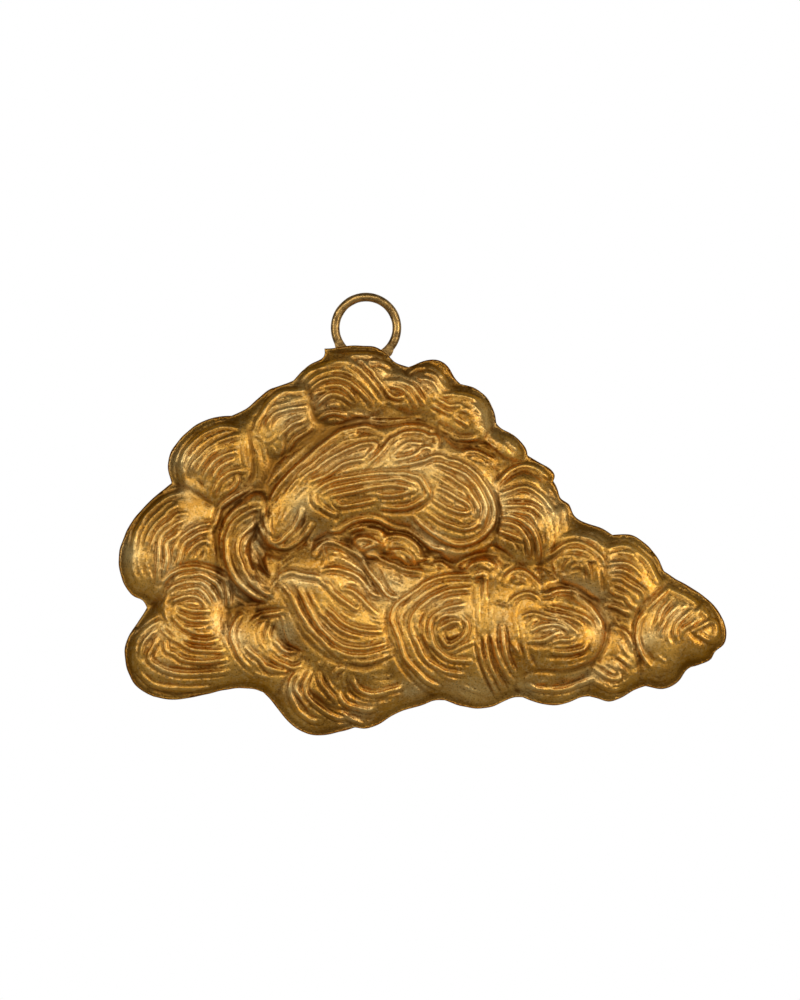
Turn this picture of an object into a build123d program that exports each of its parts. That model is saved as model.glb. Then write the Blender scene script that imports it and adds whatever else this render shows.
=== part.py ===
"""Milagro charm: an embossed sheet plaque, a heap of curling cloud scrolls, hung by a wire ring.

Millimetres, +Z up as the charm hangs, the embossed front towards -Y, the origin at the centre of the ring.
The outline and the domes were read off the photograph of the charm. Their tables hold pixel places of that
photograph, which one scale turns into millimetres.
"""

import os
from math import asin, cos, hypot, radians, sin

from build123d import *

# The plaque: a sheet pressed from behind into domes and trimmed round them by hand.
plaque_width = 60.0
sheet_wall = 0.4
crown_height = 1.5
crown_slope_width = 1.0
dome_height = 2.2
flange_width = 1.5
main_line_height = 0.3
main_line_half_width = 1.1
section_width = 1.0
overrun = 2.0

# The hanging ring: round wire bent to a full ring, standing behind the plaque's top edge. The wire is pressed
# a little flat on its inner side, where it lay on the mandrel.
ring_outer_diameter = 7.0
wire_diameter = 0.9
inner_flat_depth = 0.03
ring_overlap = 1.77
ring_seat_gap = 0.08

# The two drops of solder that hold the ring's feet to the back of the rim, as shares of the wire's diameter,
# and how far below the sheet's top edge each foot lies.
left_solder_length_share = 20 / 9
left_solder_width_share = 5 / 3
left_foot_drop = 0.27
right_solder_length_share = 17 / 9
right_solder_width_share = 3 / 2
right_foot_drop = 0.6
solder_gap = 0.02

# Pixel places in the photograph, counted from its top left corner: the middle of the ring across with the
# sheet's top edge down, and the plaque's left and right ends.
hanging_point_pixels = (365.9, 344.8)
plaque_ends_pixels = (118.3, 727.3)

# The trimmed edge, clockwise from the top left corner of the sheet. Each row is one lobe from notch to notch.
edge_lobe_pixels = (
    ((324, 347.8), (336, 347), (346, 345.3), (360, 344.8), (374, 346), (384, 351), (395, 361),
     (408.5, 366.4)),
    ((408.5, 366.4), (414, 364.3), (426, 359.6), (433, 358.7), (440, 360), (449, 367),
     (456.5, 379), (461, 383.3)),
    ((461, 383.3), (470, 385.6), (482, 392), (491, 402.5), (495.7, 416), (497, 423)),
    ((497, 423), (501, 427.5), (510, 432), (521, 441), (527.5, 451), (528.2, 455)),
    ((528.2, 455), (540, 462), (547, 466), (553, 471), (555.5, 475.5), (554, 481)),
    ((554, 481), (559, 491), (562, 499), (569.5, 504), (574, 514), (582, 520.5)),
    ((582, 520.5), (590, 524), (600, 527), (613, 534.5)),
    ((613, 534.5), (622, 534), (631, 534.6), (644, 541.5), (656, 554), (662.7, 566), (665, 571)),
    ((665, 571), (678, 579.5), (692, 587.5), (706, 597), (717, 608), (725, 621)),
    ((725, 621), (727.3, 630), (724.5, 645), (716, 653), (712.5, 659), (703, 664.5), (692, 667.5)),
    ((692, 667.5), (688, 670.5), (680, 681.5), (669, 688.3), (662, 689.8), (654, 688.8), (646, 687)),
    ((646, 687), (638, 689.5), (625, 696.7), (610, 702.4), (597, 699), (590, 697)),
    ((590, 697), (583, 698), (567, 704), (552, 706), (536, 703.2), (523, 698)),
    ((523, 698), (514, 698.3), (503, 703), (489, 708.3), (478, 709.3), (460, 706.6), (445, 701)),
    ((445, 701), (437, 701), (423, 705.8), (405, 710.8), (391, 717.5), (377, 726), (364, 729.5),
     (355, 728.6)),
    ((355, 728.6), (347, 730.8), (329, 735.2), (320, 736.5), (302, 732.5), (284, 718.5),
     (273, 704), (263, 693.2)),
    ((263, 693.2), (256, 690.8), (238, 689), (218, 692.3), (196, 697.3), (172, 700.5), (153, 697.5)),
    ((153, 697.5), (139, 690), (128.5, 676), (124, 660), (125.5, 641.5), (133.5, 627),
     (142.5, 614), (146, 608)),
    ((146, 608), (141.5, 601), (134, 597.5), (125.5, 588.5), (118.5, 570.5), (118.3, 552), (122, 539.5)),
    ((122, 539.5), (128, 526), (139, 511.5), (151, 498.8), (164, 488.3), (170.8, 482.8)),
    ((170.8, 482.8), (167.3, 471), (168.5, 456), (175.5, 443), (188, 430), (204, 420),
     (222, 415.6), (231, 415.3)),
    ((231, 415.3), (244, 409), (258, 397.5), (272, 387.5), (287, 382.5), (293, 379.8)),
    ((293, 379.8), (298, 374.5), (311, 363), (324, 354.5), (324, 347.8)),
)

# The domes: middle across and down, half length, half width, all in pixels, then the turn in degrees
# (anticlockwise as seen from the front) and the share of the dome height that each one reaches.
dome_pixels_and_height_shares = (
    # The row of lobes along the edge, behind all others.
    (344, 383, 55, 43, 8, 0.55),
    (404, 391, 30, 20, -30, 0.38),
    (431, 391, 28, 25, -40, 0.32),
    (469, 411, 38, 33, -40, 0.47),
    (508, 442, 25, 19, -45, 0.35),
    (522, 518, 52, 37, -72, 0.49),
    (589, 565, 41, 35, -30, 0.52),
    (632, 578, 48, 36, -60, 0.38),
    (679, 632, 60, 46, 12, 0.42),
    (286, 420, 45, 35, 35, 0.36),
    (221, 462, 54, 46, 30, 0.40),
    (174, 549, 62, 56, 50, 0.38),
    (189, 613, 44, 34, -70, 0.50),
    (190, 653, 77, 46, -18, 0.39),
    (262, 657, 53, 37, -52, 0.42),
    (318, 686, 50, 41, -18, 0.44),
    (376, 686, 48, 31, -10, 0.38),
    (611, 677, 34, 22, 12, 0.36),
    (661, 662, 31, 22, 20, 0.26),
    # The scallops between the arch and the whorls.
    (371, 544, 23, 18, 8, 0.54),
    (404, 551, 24, 19, -20, 0.56),
    (395, 585, 43, 30, -48, 0.46),
    (480, 569, 24, 16, 5, 0.56),
    (521, 594, 25, 19, -30, 0.55),
    # The left whorl, and the curl right of the whorls.
    (431, 632, 80, 72, -12, 0.85),
    (615, 654, 40, 29, 50, 0.46),
)

# The rolls: half width in pixels, share of the dome height, and the path along the top in pixels.
roll_pixels_and_height_shares = (
    # The arch, its left foot and its right curl.
    (55, 0.84, ((318, 498), (345, 480), (385, 472), (425, 480), (452, 498))),
    (30, 0.67, ((284, 528), (293, 501), (312, 478))),
    (51, 0.86, ((452, 509), (455, 512))),
    # The crescent left of the arch.
    (18, 0.68, ((256, 508), (239, 526), (234, 550), (243, 574), (264, 588))),
    # The shell, foremost of all, the body that both whorls are wound on, and the right whorl.
    (59, 0.95, ((311, 590), (355, 642))),
    (67, 0.90, ((472, 630), (520, 630))),
    (45, 0.95, ((518, 638), (567, 637))),
)

# The main chased lines that stand up as beads on the forms, each as its path in pixels.
main_line_pixels = (
    # The two lobes and the scroll at the left.
    ((236, 427), (213, 429), (191, 444), (179, 468)),
    ((236, 452), (220, 457), (204, 480)),
    ((250, 489), (224, 505), (213, 530)),
    ((180, 493), (157, 503), (139, 526), (133, 547)),
    ((184, 519), (163, 535), (159, 556), (158, 582)),
    ((164, 582), (191, 568), (218, 575), (229, 605)),
    ((171, 602), (196, 596), (208, 606)),
    ((162, 622), (186, 640), (217, 639)),
    ((157, 638), (149, 658), (171, 672), (228, 671)),
    ((240, 615), (232, 634), (240, 655), (262, 668), (289, 669)),
    # The row of lobes along the top and down the right slope.
    ((303, 391), (279, 393), (263, 412), (253, 432)),
    ((310, 428), (291, 445), (289, 450)),
    ((303, 376), (330, 364), (350, 365), (372, 384), (383, 400)),
    ((309, 392), (333, 378), (354, 385), (371, 405)),
    ((348, 355), (373, 355), (392, 361), (397, 368)),
    ((382, 382), (407, 384), (423, 404)),
    ((408, 372), (427, 366), (445, 381)),
    ((442, 396), (466, 396), (479, 401)),
    ((440, 428), (455, 437), (476, 438)),
    ((463, 453), (478, 452), (495, 463)),
    ((504, 436), (521, 454)),
    # The arch, the lozenge under it and its right curl.
    ((269, 503), (279, 486), (310, 457), (344, 431), (374, 429)),
    ((266, 507), (268, 535), (286, 548), (308, 532), (312, 524)),
    ((316, 492), (337, 480), (380, 474), (413, 476), (428, 494)),
    ((321, 505), (346, 506), (374, 503), (396, 508), (427, 496)),
    ((368, 466), (391, 440), (418, 432), (437, 441)),
    ((447, 460), (476, 474), (495, 510), (478, 539), (452, 543), (430, 532)),
    ((443, 487), (462, 500), (471, 510)),
    # The three lobes and the cone at the right.
    ((497, 485), (513, 469), (537, 468), (550, 479)),
    ((498, 519), (520, 520), (536, 537), (539, 562)),
    ((548, 558), (566, 544), (589, 547), (606, 565)),
    ((565, 569), (577, 560), (588, 570), (589, 580)),
    ((609, 548), (633, 548), (652, 567), (659, 580)),
    ((609, 565), (633, 567), (640, 574)),
    ((612, 592), (630, 604), (635, 607)),
    ((649, 609), (662, 595), (682, 594), (703, 609), (717, 638)),
    ((644, 613), (637, 630), (640, 650), (650, 667)),
    ((670, 640), (690, 634), (717, 641)),
    # The left whorl, the binding band and the right whorl.
    ((473, 576), (440, 577), (416, 590), (396, 605), (398, 635), (406, 659), (426, 680), (439, 687)),
    ((464, 604), (447, 608), (430, 622), (433, 644), (450, 659), (470, 660)),
    ((479, 590), (477, 640), (484, 664), (498, 696)),
    ((519, 600), (515, 640), (524, 680)),
    ((541, 594), (563, 590), (585, 601), (602, 626), (607, 640), (598, 658), (575, 670), (545, 671)),
    ((529, 631), (562, 632), (577, 634)),
    # The shell, the crescent left of it and the scallops.
    ((315, 553), (323, 543), (338, 544), (356, 555), (373, 576), (390, 596)),
    ((321, 580), (337, 596), (357, 609), (385, 616)),
    ((284, 585), (298, 609), (318, 636), (341, 656), (367, 656), (392, 648)),
    ((259, 508), (242, 515), (229, 531), (226, 548), (232, 573), (250, 593), (264, 600)),
    ((332, 532), (361, 520), (394, 528), (425, 543), (442, 550)),
    ((353, 543), (366, 538), (383, 546)),
    ((388, 551), (403, 552), (414, 564)),
    ((469, 568), (482, 562), (494, 566)),
    # The lobes along the lower edge.
    ((301, 669), (290, 688), (298, 711), (320, 721)),
    ((352, 677), (360, 690), (375, 694), (403, 687)),
    ((528, 685), (555, 691), (577, 685), (592, 679)),
    ((600, 662), (620, 672), (614, 679)),
)
path_steps_per_point = 4
dome_steepness = 2.3
blend_sharpness = 7.0

# Worked out from the sizes above.
pixel = plaque_width / (plaque_ends_pixels[1] - plaque_ends_pixels[0])
wire_radius = wire_diameter / 2
ring_centre_radius = (ring_outer_diameter - wire_diameter) / 2
bore_radius = ring_outer_diameter / 2 - wire_diameter + inner_flat_depth
rim_back = -(wire_radius + ring_seat_gap)
wire_rest = rim_back + solder_gap
plaque_top = ring_overlap - ring_outer_diameter / 2
left_solder_length = left_solder_length_share * wire_diameter
left_solder_width = left_solder_width_share * wire_diameter
right_solder_length = right_solder_length_share * wire_diameter
right_solder_width = right_solder_width_share * wire_diameter
relief_limit = crown_height + dome_height + main_line_height


def place(across, down):
    """The X and Z of a pixel place, from the centre of the ring."""
    return (across - hanging_point_pixels[0]) * pixel, plaque_top + (hanging_point_pixels[1] - down) * pixel


edge_places = [[place(*point) for point in lobe] for lobe in edge_lobe_pixels]
edge_loop = [point for lobe in edge_places for point in lobe[:-1]]


def smooth_path(points):
    """The places along a smooth curve through a path's pixel places."""
    curve = Spline(*[place(*point) for point in points])
    steps = path_steps_per_point * len(points)
    return [((curve @ (step / steps)).X, (curve @ (step / steps)).Y) for step in range(steps + 1)]


roll_paths = [smooth_path(points) for half_width, height_share, points in roll_pixels_and_height_shares]
main_lines = [smooth_path(points) for points in main_line_pixels]


def run_distance(x, z, start, end):
    """The distance from a place to one straight run."""
    run_x = end[0] - start[0]
    run_z = end[1] - start[1]
    along = ((x - start[0]) * run_x + (z - start[1]) * run_z) / (run_x**2 + run_z**2)
    along = min(max(along, 0), 1)
    return hypot(x - start[0] - along * run_x, z - start[1] - along * run_z)


def inset(x, z):
    """How far a place lies inside the trimmed edge, or zero outside it."""
    runs = list(zip(edge_loop, edge_loop[1:] + edge_loop[:1]))
    inside = False
    for start, end in runs:
        if (end[1] > z) != (start[1] > z):
            crossing = start[0] + (end[0] - start[0]) * (z - start[1]) / (end[1] - start[1])
            if x < crossing:
                inside = not inside
    return min(run_distance(x, z, start, end) for start, end in runs) if inside else 0.0


def relief(x, z):
    """How far the sheet is pushed forward: a low crown, the highest of the forms, and the bead on that."""
    depth = inset(x, z)
    total = 0.0
    for across, down, length, width, turn, height_share in dome_pixels_and_height_shares:
        middle_x, middle_z = place(across, down)
        along = (x - middle_x) * cos(radians(turn)) + (z - middle_z) * sin(radians(turn))
        aside = (z - middle_z) * cos(radians(turn)) - (x - middle_x) * sin(radians(turn))
        away = min(hypot(along / (length * pixel), aside / (width * pixel)), 1)
        total += (height_share * (1 - away**dome_steepness)) ** blend_sharpness
    for (half_width, height_share, path), points in zip(roll_pixels_and_height_shares, roll_paths):
        away = min(run_distance(x, z, start, end) for start, end in zip(points, points[1:]))
        away = min(away / (half_width * pixel), 1)
        total += (height_share * (1 - away**dome_steepness)) ** blend_sharpness
    away = min(run_distance(x, z, start, end) for line in main_lines for start, end in zip(line, line[1:]))
    bead = main_line_height * (1 - min(away / main_line_half_width, 1) ** 2) ** 2
    rise = min(depth / flange_width, 1)
    rise = rise * rise * (3 - 2 * rise)
    crown = crown_height * depth**2 / (depth**2 + crown_slope_width**2)
    return crown + rise * (dome_height * total ** (1 / blend_sharpness) + bead)


# The pushed sheet is laid out as upright sections, side by side, that run past the trimmed edge all round.
low_x = min(x for x, z in edge_loop) - overrun
high_x = max(x for x, z in edge_loop) + overrun
low_z = min(z for x, z in edge_loop) - overrun
high_z = max(z for x, z in edge_loop) + overrun
columns = round((high_x - low_x) / section_width)
rows = round((high_z - low_z) / section_width)
levels = [low_z + (high_z - low_z) * row / rows for row in range(rows + 1)]

# The plaque: the pushed sheet, as thick as its wall in the direction of the push, trimmed to the edge.
with BuildPart() as plaque:
    for column in range(columns + 1):
        section_x = low_x + (high_x - low_x) * column / columns
        back_points = [(rim_back - relief(section_x, level), level) for level in levels]
        front_points = [(y - sheet_wall, level) for y, level in back_points]
        with BuildSketch(Plane.YZ.offset(section_x)):
            with BuildLine():
                Spline(*back_points)
                Line(back_points[-1], front_points[-1])
                Spline(*front_points)
                Line(front_points[0], back_points[0])
            make_face()
    loft(ruled=True)
    with BuildSketch(Plane.XZ.offset(-overrun)):
        with BuildLine():
            for lobe in edge_places:
                Spline(*lobe)
        make_face()
    extrude(amount=relief_limit + sheet_wall + overrun * 2, mode=Mode.INTERSECT)
plaque.part.label = "plaque"

# The ring, seen full round from the front.
with BuildPart() as hanging_ring:
    with BuildSketch(Plane.XY):
        with Locations((ring_centre_radius, 0)):
            Circle(wire_radius)
        with Locations((ring_centre_radius - wire_diameter + inner_flat_depth, 0)):
            Rectangle(wire_diameter, wire_diameter, mode=Mode.SUBTRACT)
    revolve(axis=Axis.Y)
hanging_ring.part.label = "hanging_ring"


def solder(foot_drop, side, length, width):
    """A drop of solder along the wire at its foot, flat on the back of the rim and clear of the bore."""
    below = asin((foot_drop - plaque_top) / ring_centre_radius)
    foot = (side * ring_centre_radius * cos(below), wire_rest, -ring_centre_radius * sin(below))
    along_wire = Plane(origin=foot, x_dir=(side * sin(below), 0, cos(below)), z_dir=(0, -1, 0))
    with BuildPart() as drop:
        with BuildSketch(along_wire):
            Ellipse(length / 2, width / 2)
            with Locations((0, width / 2)):
                Rectangle(length, width, mode=Mode.SUBTRACT)
        revolve(axis=Axis(along_wire.origin, along_wire.x_dir))
        add(hanging_ring.part, mode=Mode.SUBTRACT)
        with BuildSketch(Plane.XZ.offset(-wire_rest)):
            with Locations((foot[0], foot[2])):
                Rectangle(length * 2, length * 2)
        extrude(amount=overrun, mode=Mode.SUBTRACT)
        with BuildSketch(Plane.XZ):
            Circle(bore_radius)
        extrude(amount=overrun, both=True, mode=Mode.SUBTRACT)
    return drop.part


with BuildPart() as solder_left:
    add(solder(left_foot_drop, -1, left_solder_length, left_solder_width))
solder_left.part.label = "solder_left"

with BuildPart() as solder_right:
    add(solder(right_foot_drop, 1, right_solder_length, right_solder_width))
solder_right.part.label = "solder_right"

os.makedirs("parts", exist_ok=True)
export_step(plaque.part, "parts/plaque.step")
export_step(hanging_ring.part, "parts/hanging_ring.step")
export_step(solder_left.part, "parts/solder_left.step")
export_step(solder_right.part, "parts/solder_right.step")
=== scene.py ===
"""Milagro charm, dressed: an embossed and chased gilt plaque of curling cloud scrolls, with its soldered wire ring.

The plaque is a height field over its trimmed outline: a low crown, domes and rolls pushed up from behind, and
then the lines that were chased from the front. Every line was read off the photograph, as pixel places
that one scale turns into the model's metres.
"""

import logging
from dataclasses import dataclass, field
from enum import Enum

import bpy
import numpy as np
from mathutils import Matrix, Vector
from mathutils.geometry import delaunay_2d_cdt


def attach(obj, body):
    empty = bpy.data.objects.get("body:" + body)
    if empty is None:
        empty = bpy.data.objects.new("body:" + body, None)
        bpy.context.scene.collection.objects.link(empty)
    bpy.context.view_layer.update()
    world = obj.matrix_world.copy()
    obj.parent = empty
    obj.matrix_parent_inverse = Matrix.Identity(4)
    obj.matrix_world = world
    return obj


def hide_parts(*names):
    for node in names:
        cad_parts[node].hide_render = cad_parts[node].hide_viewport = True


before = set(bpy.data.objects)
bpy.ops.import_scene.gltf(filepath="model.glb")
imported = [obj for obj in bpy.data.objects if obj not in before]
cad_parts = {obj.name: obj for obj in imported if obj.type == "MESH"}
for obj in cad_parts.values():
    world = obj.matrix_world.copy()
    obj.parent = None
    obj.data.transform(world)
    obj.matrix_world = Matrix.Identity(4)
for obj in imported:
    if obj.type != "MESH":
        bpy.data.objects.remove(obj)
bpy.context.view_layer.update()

log = logging.getLogger("milagro_charm")

MILLIMETRE = 0.001
PIXEL = 60.0 / 609.0
"""Millimetres to one pixel of the photograph."""
PLAQUE_TOP = -1.73
"""How high the sheet's top edge lies, in millimetres from the ring's middle."""

EDGE_LOBES = (
    "324,347.8 336,347 346,345.3 360,344.8 374,346 384,351 395,361 408.5,366.4",
    "408.5,366.4 414,364.3 426,359.6 433,358.7 440,360 449,367 456.5,379 461,383.3",
    "461,383.3 470,385.6 482,392 491,402.5 495.7,416 497,423",
    "497,423 501,427.5 510,432 521,441 527.5,451 528.2,455",
    "528.2,455 540,462 547,466 553,471 555.5,475.5 554,481",
    "554,481 559,491 562,499 569.5,504 574,514 582,520.5",
    "582,520.5 590,524 600,527 613,534.5",
    "613,534.5 622,534 631,534.6 644,541.5 656,554 662.7,566 665,571",
    "665,571 678,579.5 692,587.5 706,597 717,608 725,621",
    "725,621 727.3,630 724.5,645 716,653 712.5,659 703,664.5 692,667.5",
    "692,667.5 688,670.5 680,681.5 669,688.3 662,689.8 654,688.8 646,687",
    "646,687 638,689.5 625,696.7 610,702.4 597,699 590,697",
    "590,697 583,698 567,704 552,706 536,703.2 523,698",
    "523,698 514,698.3 503,703 489,708.3 478,709.3 460,706.6 445,701",
    "445,701 437,701 423,705.8 405,710.8 391,717.5 377,726 364,729.5 355,728.6",
    "355,728.6 347,730.8 329,735.2 320,736.5 302,732.5 284,718.5 273,704 263,693.2",
    "263,693.2 256,690.8 238,689 218,692.3 196,697.3 172,700.5 153,697.5",
    "153,697.5 139,690 128.5,676 124,660 125.5,641.5 133.5,627 142.5,614 146,608",
    "146,608 141.5,601 134,597.5 125.5,588.5 118.5,570.5 118.3,552 122,539.5",
    "122,539.5 128,526 139,511.5 151,498.8 164,488.3 170.8,482.8",
    "170.8,482.8 167.3,471 168.5,456 175.5,443 188,430 204,420 222,415.6 231,415.3",
    "231,415.3 244,409 258,397.5 272,387.5 287,382.5 293,379.8",
    "293,379.8 298,374.5 311,363 324,354.5 324,347.8",
)
"""The trimmed edge, clockwise from the sheet's top left corner, one lobe from notch to notch on each line."""

DOMES = (
    (344, 383, 55, 43, 8, 0.55),
    (404, 391, 30, 20, -30, 0.38),
    (431, 391, 28, 25, -40, 0.32),
    (469, 411, 38, 33, -40, 0.47),
    (508, 442, 25, 19, -45, 0.35),
    (522, 518, 52, 37, -72, 0.49),
    (589, 565, 41, 35, -30, 0.52),
    (632, 578, 48, 36, -60, 0.38),
    (679, 632, 60, 46, 12, 0.42),
    (286, 420, 45, 35, 35, 0.36),
    (221, 462, 54, 46, 30, 0.40),
    (174, 549, 62, 56, 50, 0.38),
    (189, 613, 44, 34, -70, 0.50),
    (190, 653, 77, 46, -18, 0.39),
    (262, 657, 53, 37, -52, 0.42),
    (318, 686, 50, 41, -18, 0.44),
    (376, 686, 48, 31, -10, 0.38),
    (611, 677, 34, 22, 12, 0.36),
    (661, 662, 31, 22, 20, 0.26),
    (371, 544, 23, 18, 8, 0.54),
    (404, 551, 24, 19, -20, 0.56),
    (395, 585, 43, 30, -48, 0.46),
    (480, 569, 24, 16, 5, 0.56),
    (521, 594, 25, 19, -30, 0.55),
    (431, 632, 80, 72, -12, 0.85),
    (615, 654, 40, 29, 50, 0.46),
)
"""The domes: middle across and down, half length, half width, turn in degrees, share of the dome height."""

ROLLS = (
    (55, 0.84, "318,498 345,480 385,472 425,480 452,498"),
    (30, 0.67, "284,528 293,501 312,478"),
    (51, 0.86, "452,509 455,512"),
    (18, 0.68, "256,508 239,526 234,550 243,574 264,588"),
    (59, 0.95, "311,590 355,642"),
    (67, 0.90, "472,630 520,630"),
    (45, 0.95, "518,638 567,637"),
)
"""The rolls: half width, share of the dome height, and the path along the top."""

SHADE_AND_TARNISH_PATCHES = (
    (312, 430, 30, 17, 40, 0.9),
    (258, 470, 24, 24, 0, 1.0),
    (248, 512, 20, 11, 40, 0.7),
    (332, 514, 38, 14, 10, 0.7),
    (296, 557, 28, 10, 10, 1.0),
    (262, 583, 14, 22, 40, 0.5),
    (352, 402, 34, 10, 0, 0.7),
    (345, 378, 20, 14, 0, 0.4),
    (386, 430, 16, 9, 20, 0.6),
    (524, 478, 14, 12, -30, 0.7),
    (474, 431, 12, 11, 0, 0.5),
    (453, 450, 18, 9, -30, 0.6),
    (460, 530, 24, 12, -30, 0.3),
    (518, 549, 22, 11, 0, 0.8),
    (578, 572, 34, 11, -25, 0.55),
    (548, 594, 14, 9, -20, 0.5),
    (616, 604, 11, 26, 10, 0.5),
    (243, 613, 20, 13, -30, 0.9),
    (205, 545, 10, 13, 0, 0.6),
    (160, 506, 26, 14, 30, 0.8),
    (236, 430, 26, 12, 20, 0.5),
    (236, 570, 9, 14, 0, 0.5),
    (324, 692, 13, 40, 0, 0.9),
    (310, 648, 22, 12, -30, 0.5),
    (368, 672, 28, 14, 0, 0.6),
    (442, 642, 16, 16, 0, 0.5),
    (225, 668, 30, 10, 0, 0.5),
    (545, 650, 26, 8, 0, 0.4),
    (135, 684, 14, 34, 30, 0.6),
    (684, 668, 34, 10, 30, 0.6),
)
# Dark patches: middle across and down, half length, half width, turn in degrees, strength.  They stand where the
# photograph is darker than the evenly gilt plaque came out. They are painted shade that the relief and the light here
# don't give, with some tarnish among it.
"""Dark patches: middle across and down, half length, half width, turn in degrees, strength.

They stand where the photograph is darker than the evenly gilt plaque came out. They are taken as tarnish, but
some may be shade that the relief or the light here doesn't give.
"""

HIGHLIGHT_AND_WEAR_PATCHES = (
    (178, 460, 22, 13, 0, 0.8),
    (215, 463, 16, 9, 0, 0.4),
    (226, 588, 36, 14, 0, 1.0),
    (166, 562, 13, 30, 10, 0.6),
    (128, 552, 12, 16, 0, 1.0),
    (256, 537, 10, 22, 0, 1.0),
    (191, 530, 12, 14, 0, 0.5),
    (183, 491, 13, 9, 0, 0.6),
    (240, 497, 20, 8, 35, 0.6),
    (300, 510, 11, 20, -15, 0.7),
    (321, 540, 14, 9, 0, 0.7),
    (602, 618, 11, 18, 0, 0.7),
    (588, 592, 26, 9, -25, 0.8),
    (290, 414, 16, 18, 30, 0.8),
    (363, 420, 20, 8, 0, 0.6),
    (322, 404, 14, 9, -40, 0.6),
    (302, 383, 12, 7, 0, 0.5),
    (494, 505, 18, 20, 20, 1.0),
    (549, 508, 20, 13, -30, 0.7),
    (530, 520, 10, 14, 0, 0.4),
    (410, 462, 48, 26, 0, 0.55),
    (345, 458, 50, 13, 12, 0.45),
    (448, 492, 24, 18, 0, 0.3),
    (465, 475, 14, 10, 0, 0.5),
    (360, 562, 12, 20, 0, 0.8),
    (385, 588, 32, 18, -20, 0.7),
    (430, 600, 30, 9, -10, 0.5),
    (432, 540, 24, 9, -40, 0.8),
    (300, 580, 24, 9, 0, 0.7),
    (318, 624, 26, 9, -30, 0.3),
    (487, 417, 9, 22, 25, 0.7),
    (512, 440, 12, 8, -40, 0.4),
    (410, 380, 34, 9, -10, 0.6),
    (366, 362, 18, 8, -10, 0.5),
    (235, 637, 26, 10, -40, 0.7),
    (285, 634, 11, 16, 0, 0.9),
    (150, 632, 18, 12, 0, 0.5),
    (165, 668, 14, 8, -20, 0.4),
    (555, 628, 18, 11, 0, 0.7),
    (455, 610, 18, 10, 0, 0.5),
    (500, 625, 9, 20, 0, 0.3),
    (590, 676, 28, 8, 20, 0.7),
    (525, 690, 14, 9, 0, 0.7),
    (470, 690, 34, 10, 0, 0.5),
    (414, 690, 14, 10, 0, 0.6),
    (672, 612, 18, 10, -20, 0.7),
    (645, 640, 20, 9, 25, 0.7),
    (592, 538, 16, 6, -15, 0.5),
    (614, 566, 9, 11, 0, 0.5),
    (357, 716, 18, 8, 30, 0.6),
    (293, 690, 11, 9, 0, 0.7),
)
# Bright patches, the same six values for each: painted highlight, with some wear, where the photograph is lighter.
"""Bright patches, the same six values for each: where the photograph is lighter, taken as rubbed gilt."""


class Stroke(Enum):
    """The kinds of chased line: height in millimetres, half width in pixels, depth of the grooves beside it."""

    RIDGE = (0.29, 2.4, 0.26)
    BROAD = (0.29, 3.1, 0.25)
    FINE = (0.12, 1.4, 0.09)
    GROOVE = (-0.22, 1.6, 0.0)
    FOLD = (-0.24, 2.4, 0.0)


@dataclass(frozen=True)
class Chasing:
    """The lines of one form of the plaque, one line of pixel places for each stroke."""

    form: str
    ridges: str = ""
    broad: str = ""
    fine: str = ""
    grooves: str = ""
    folds: str = ""

    def strokes(self) -> list[tuple[Stroke, np.ndarray]]:
        """List the form's strokes, each with its kind and its places."""
        kinds = zip(Stroke, (self.ridges, self.broad, self.fine, self.grooves, self.folds))
        return [(kind, read_places(line)) for kind, lines in kinds for line in lines.split("\n") if line]


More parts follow.
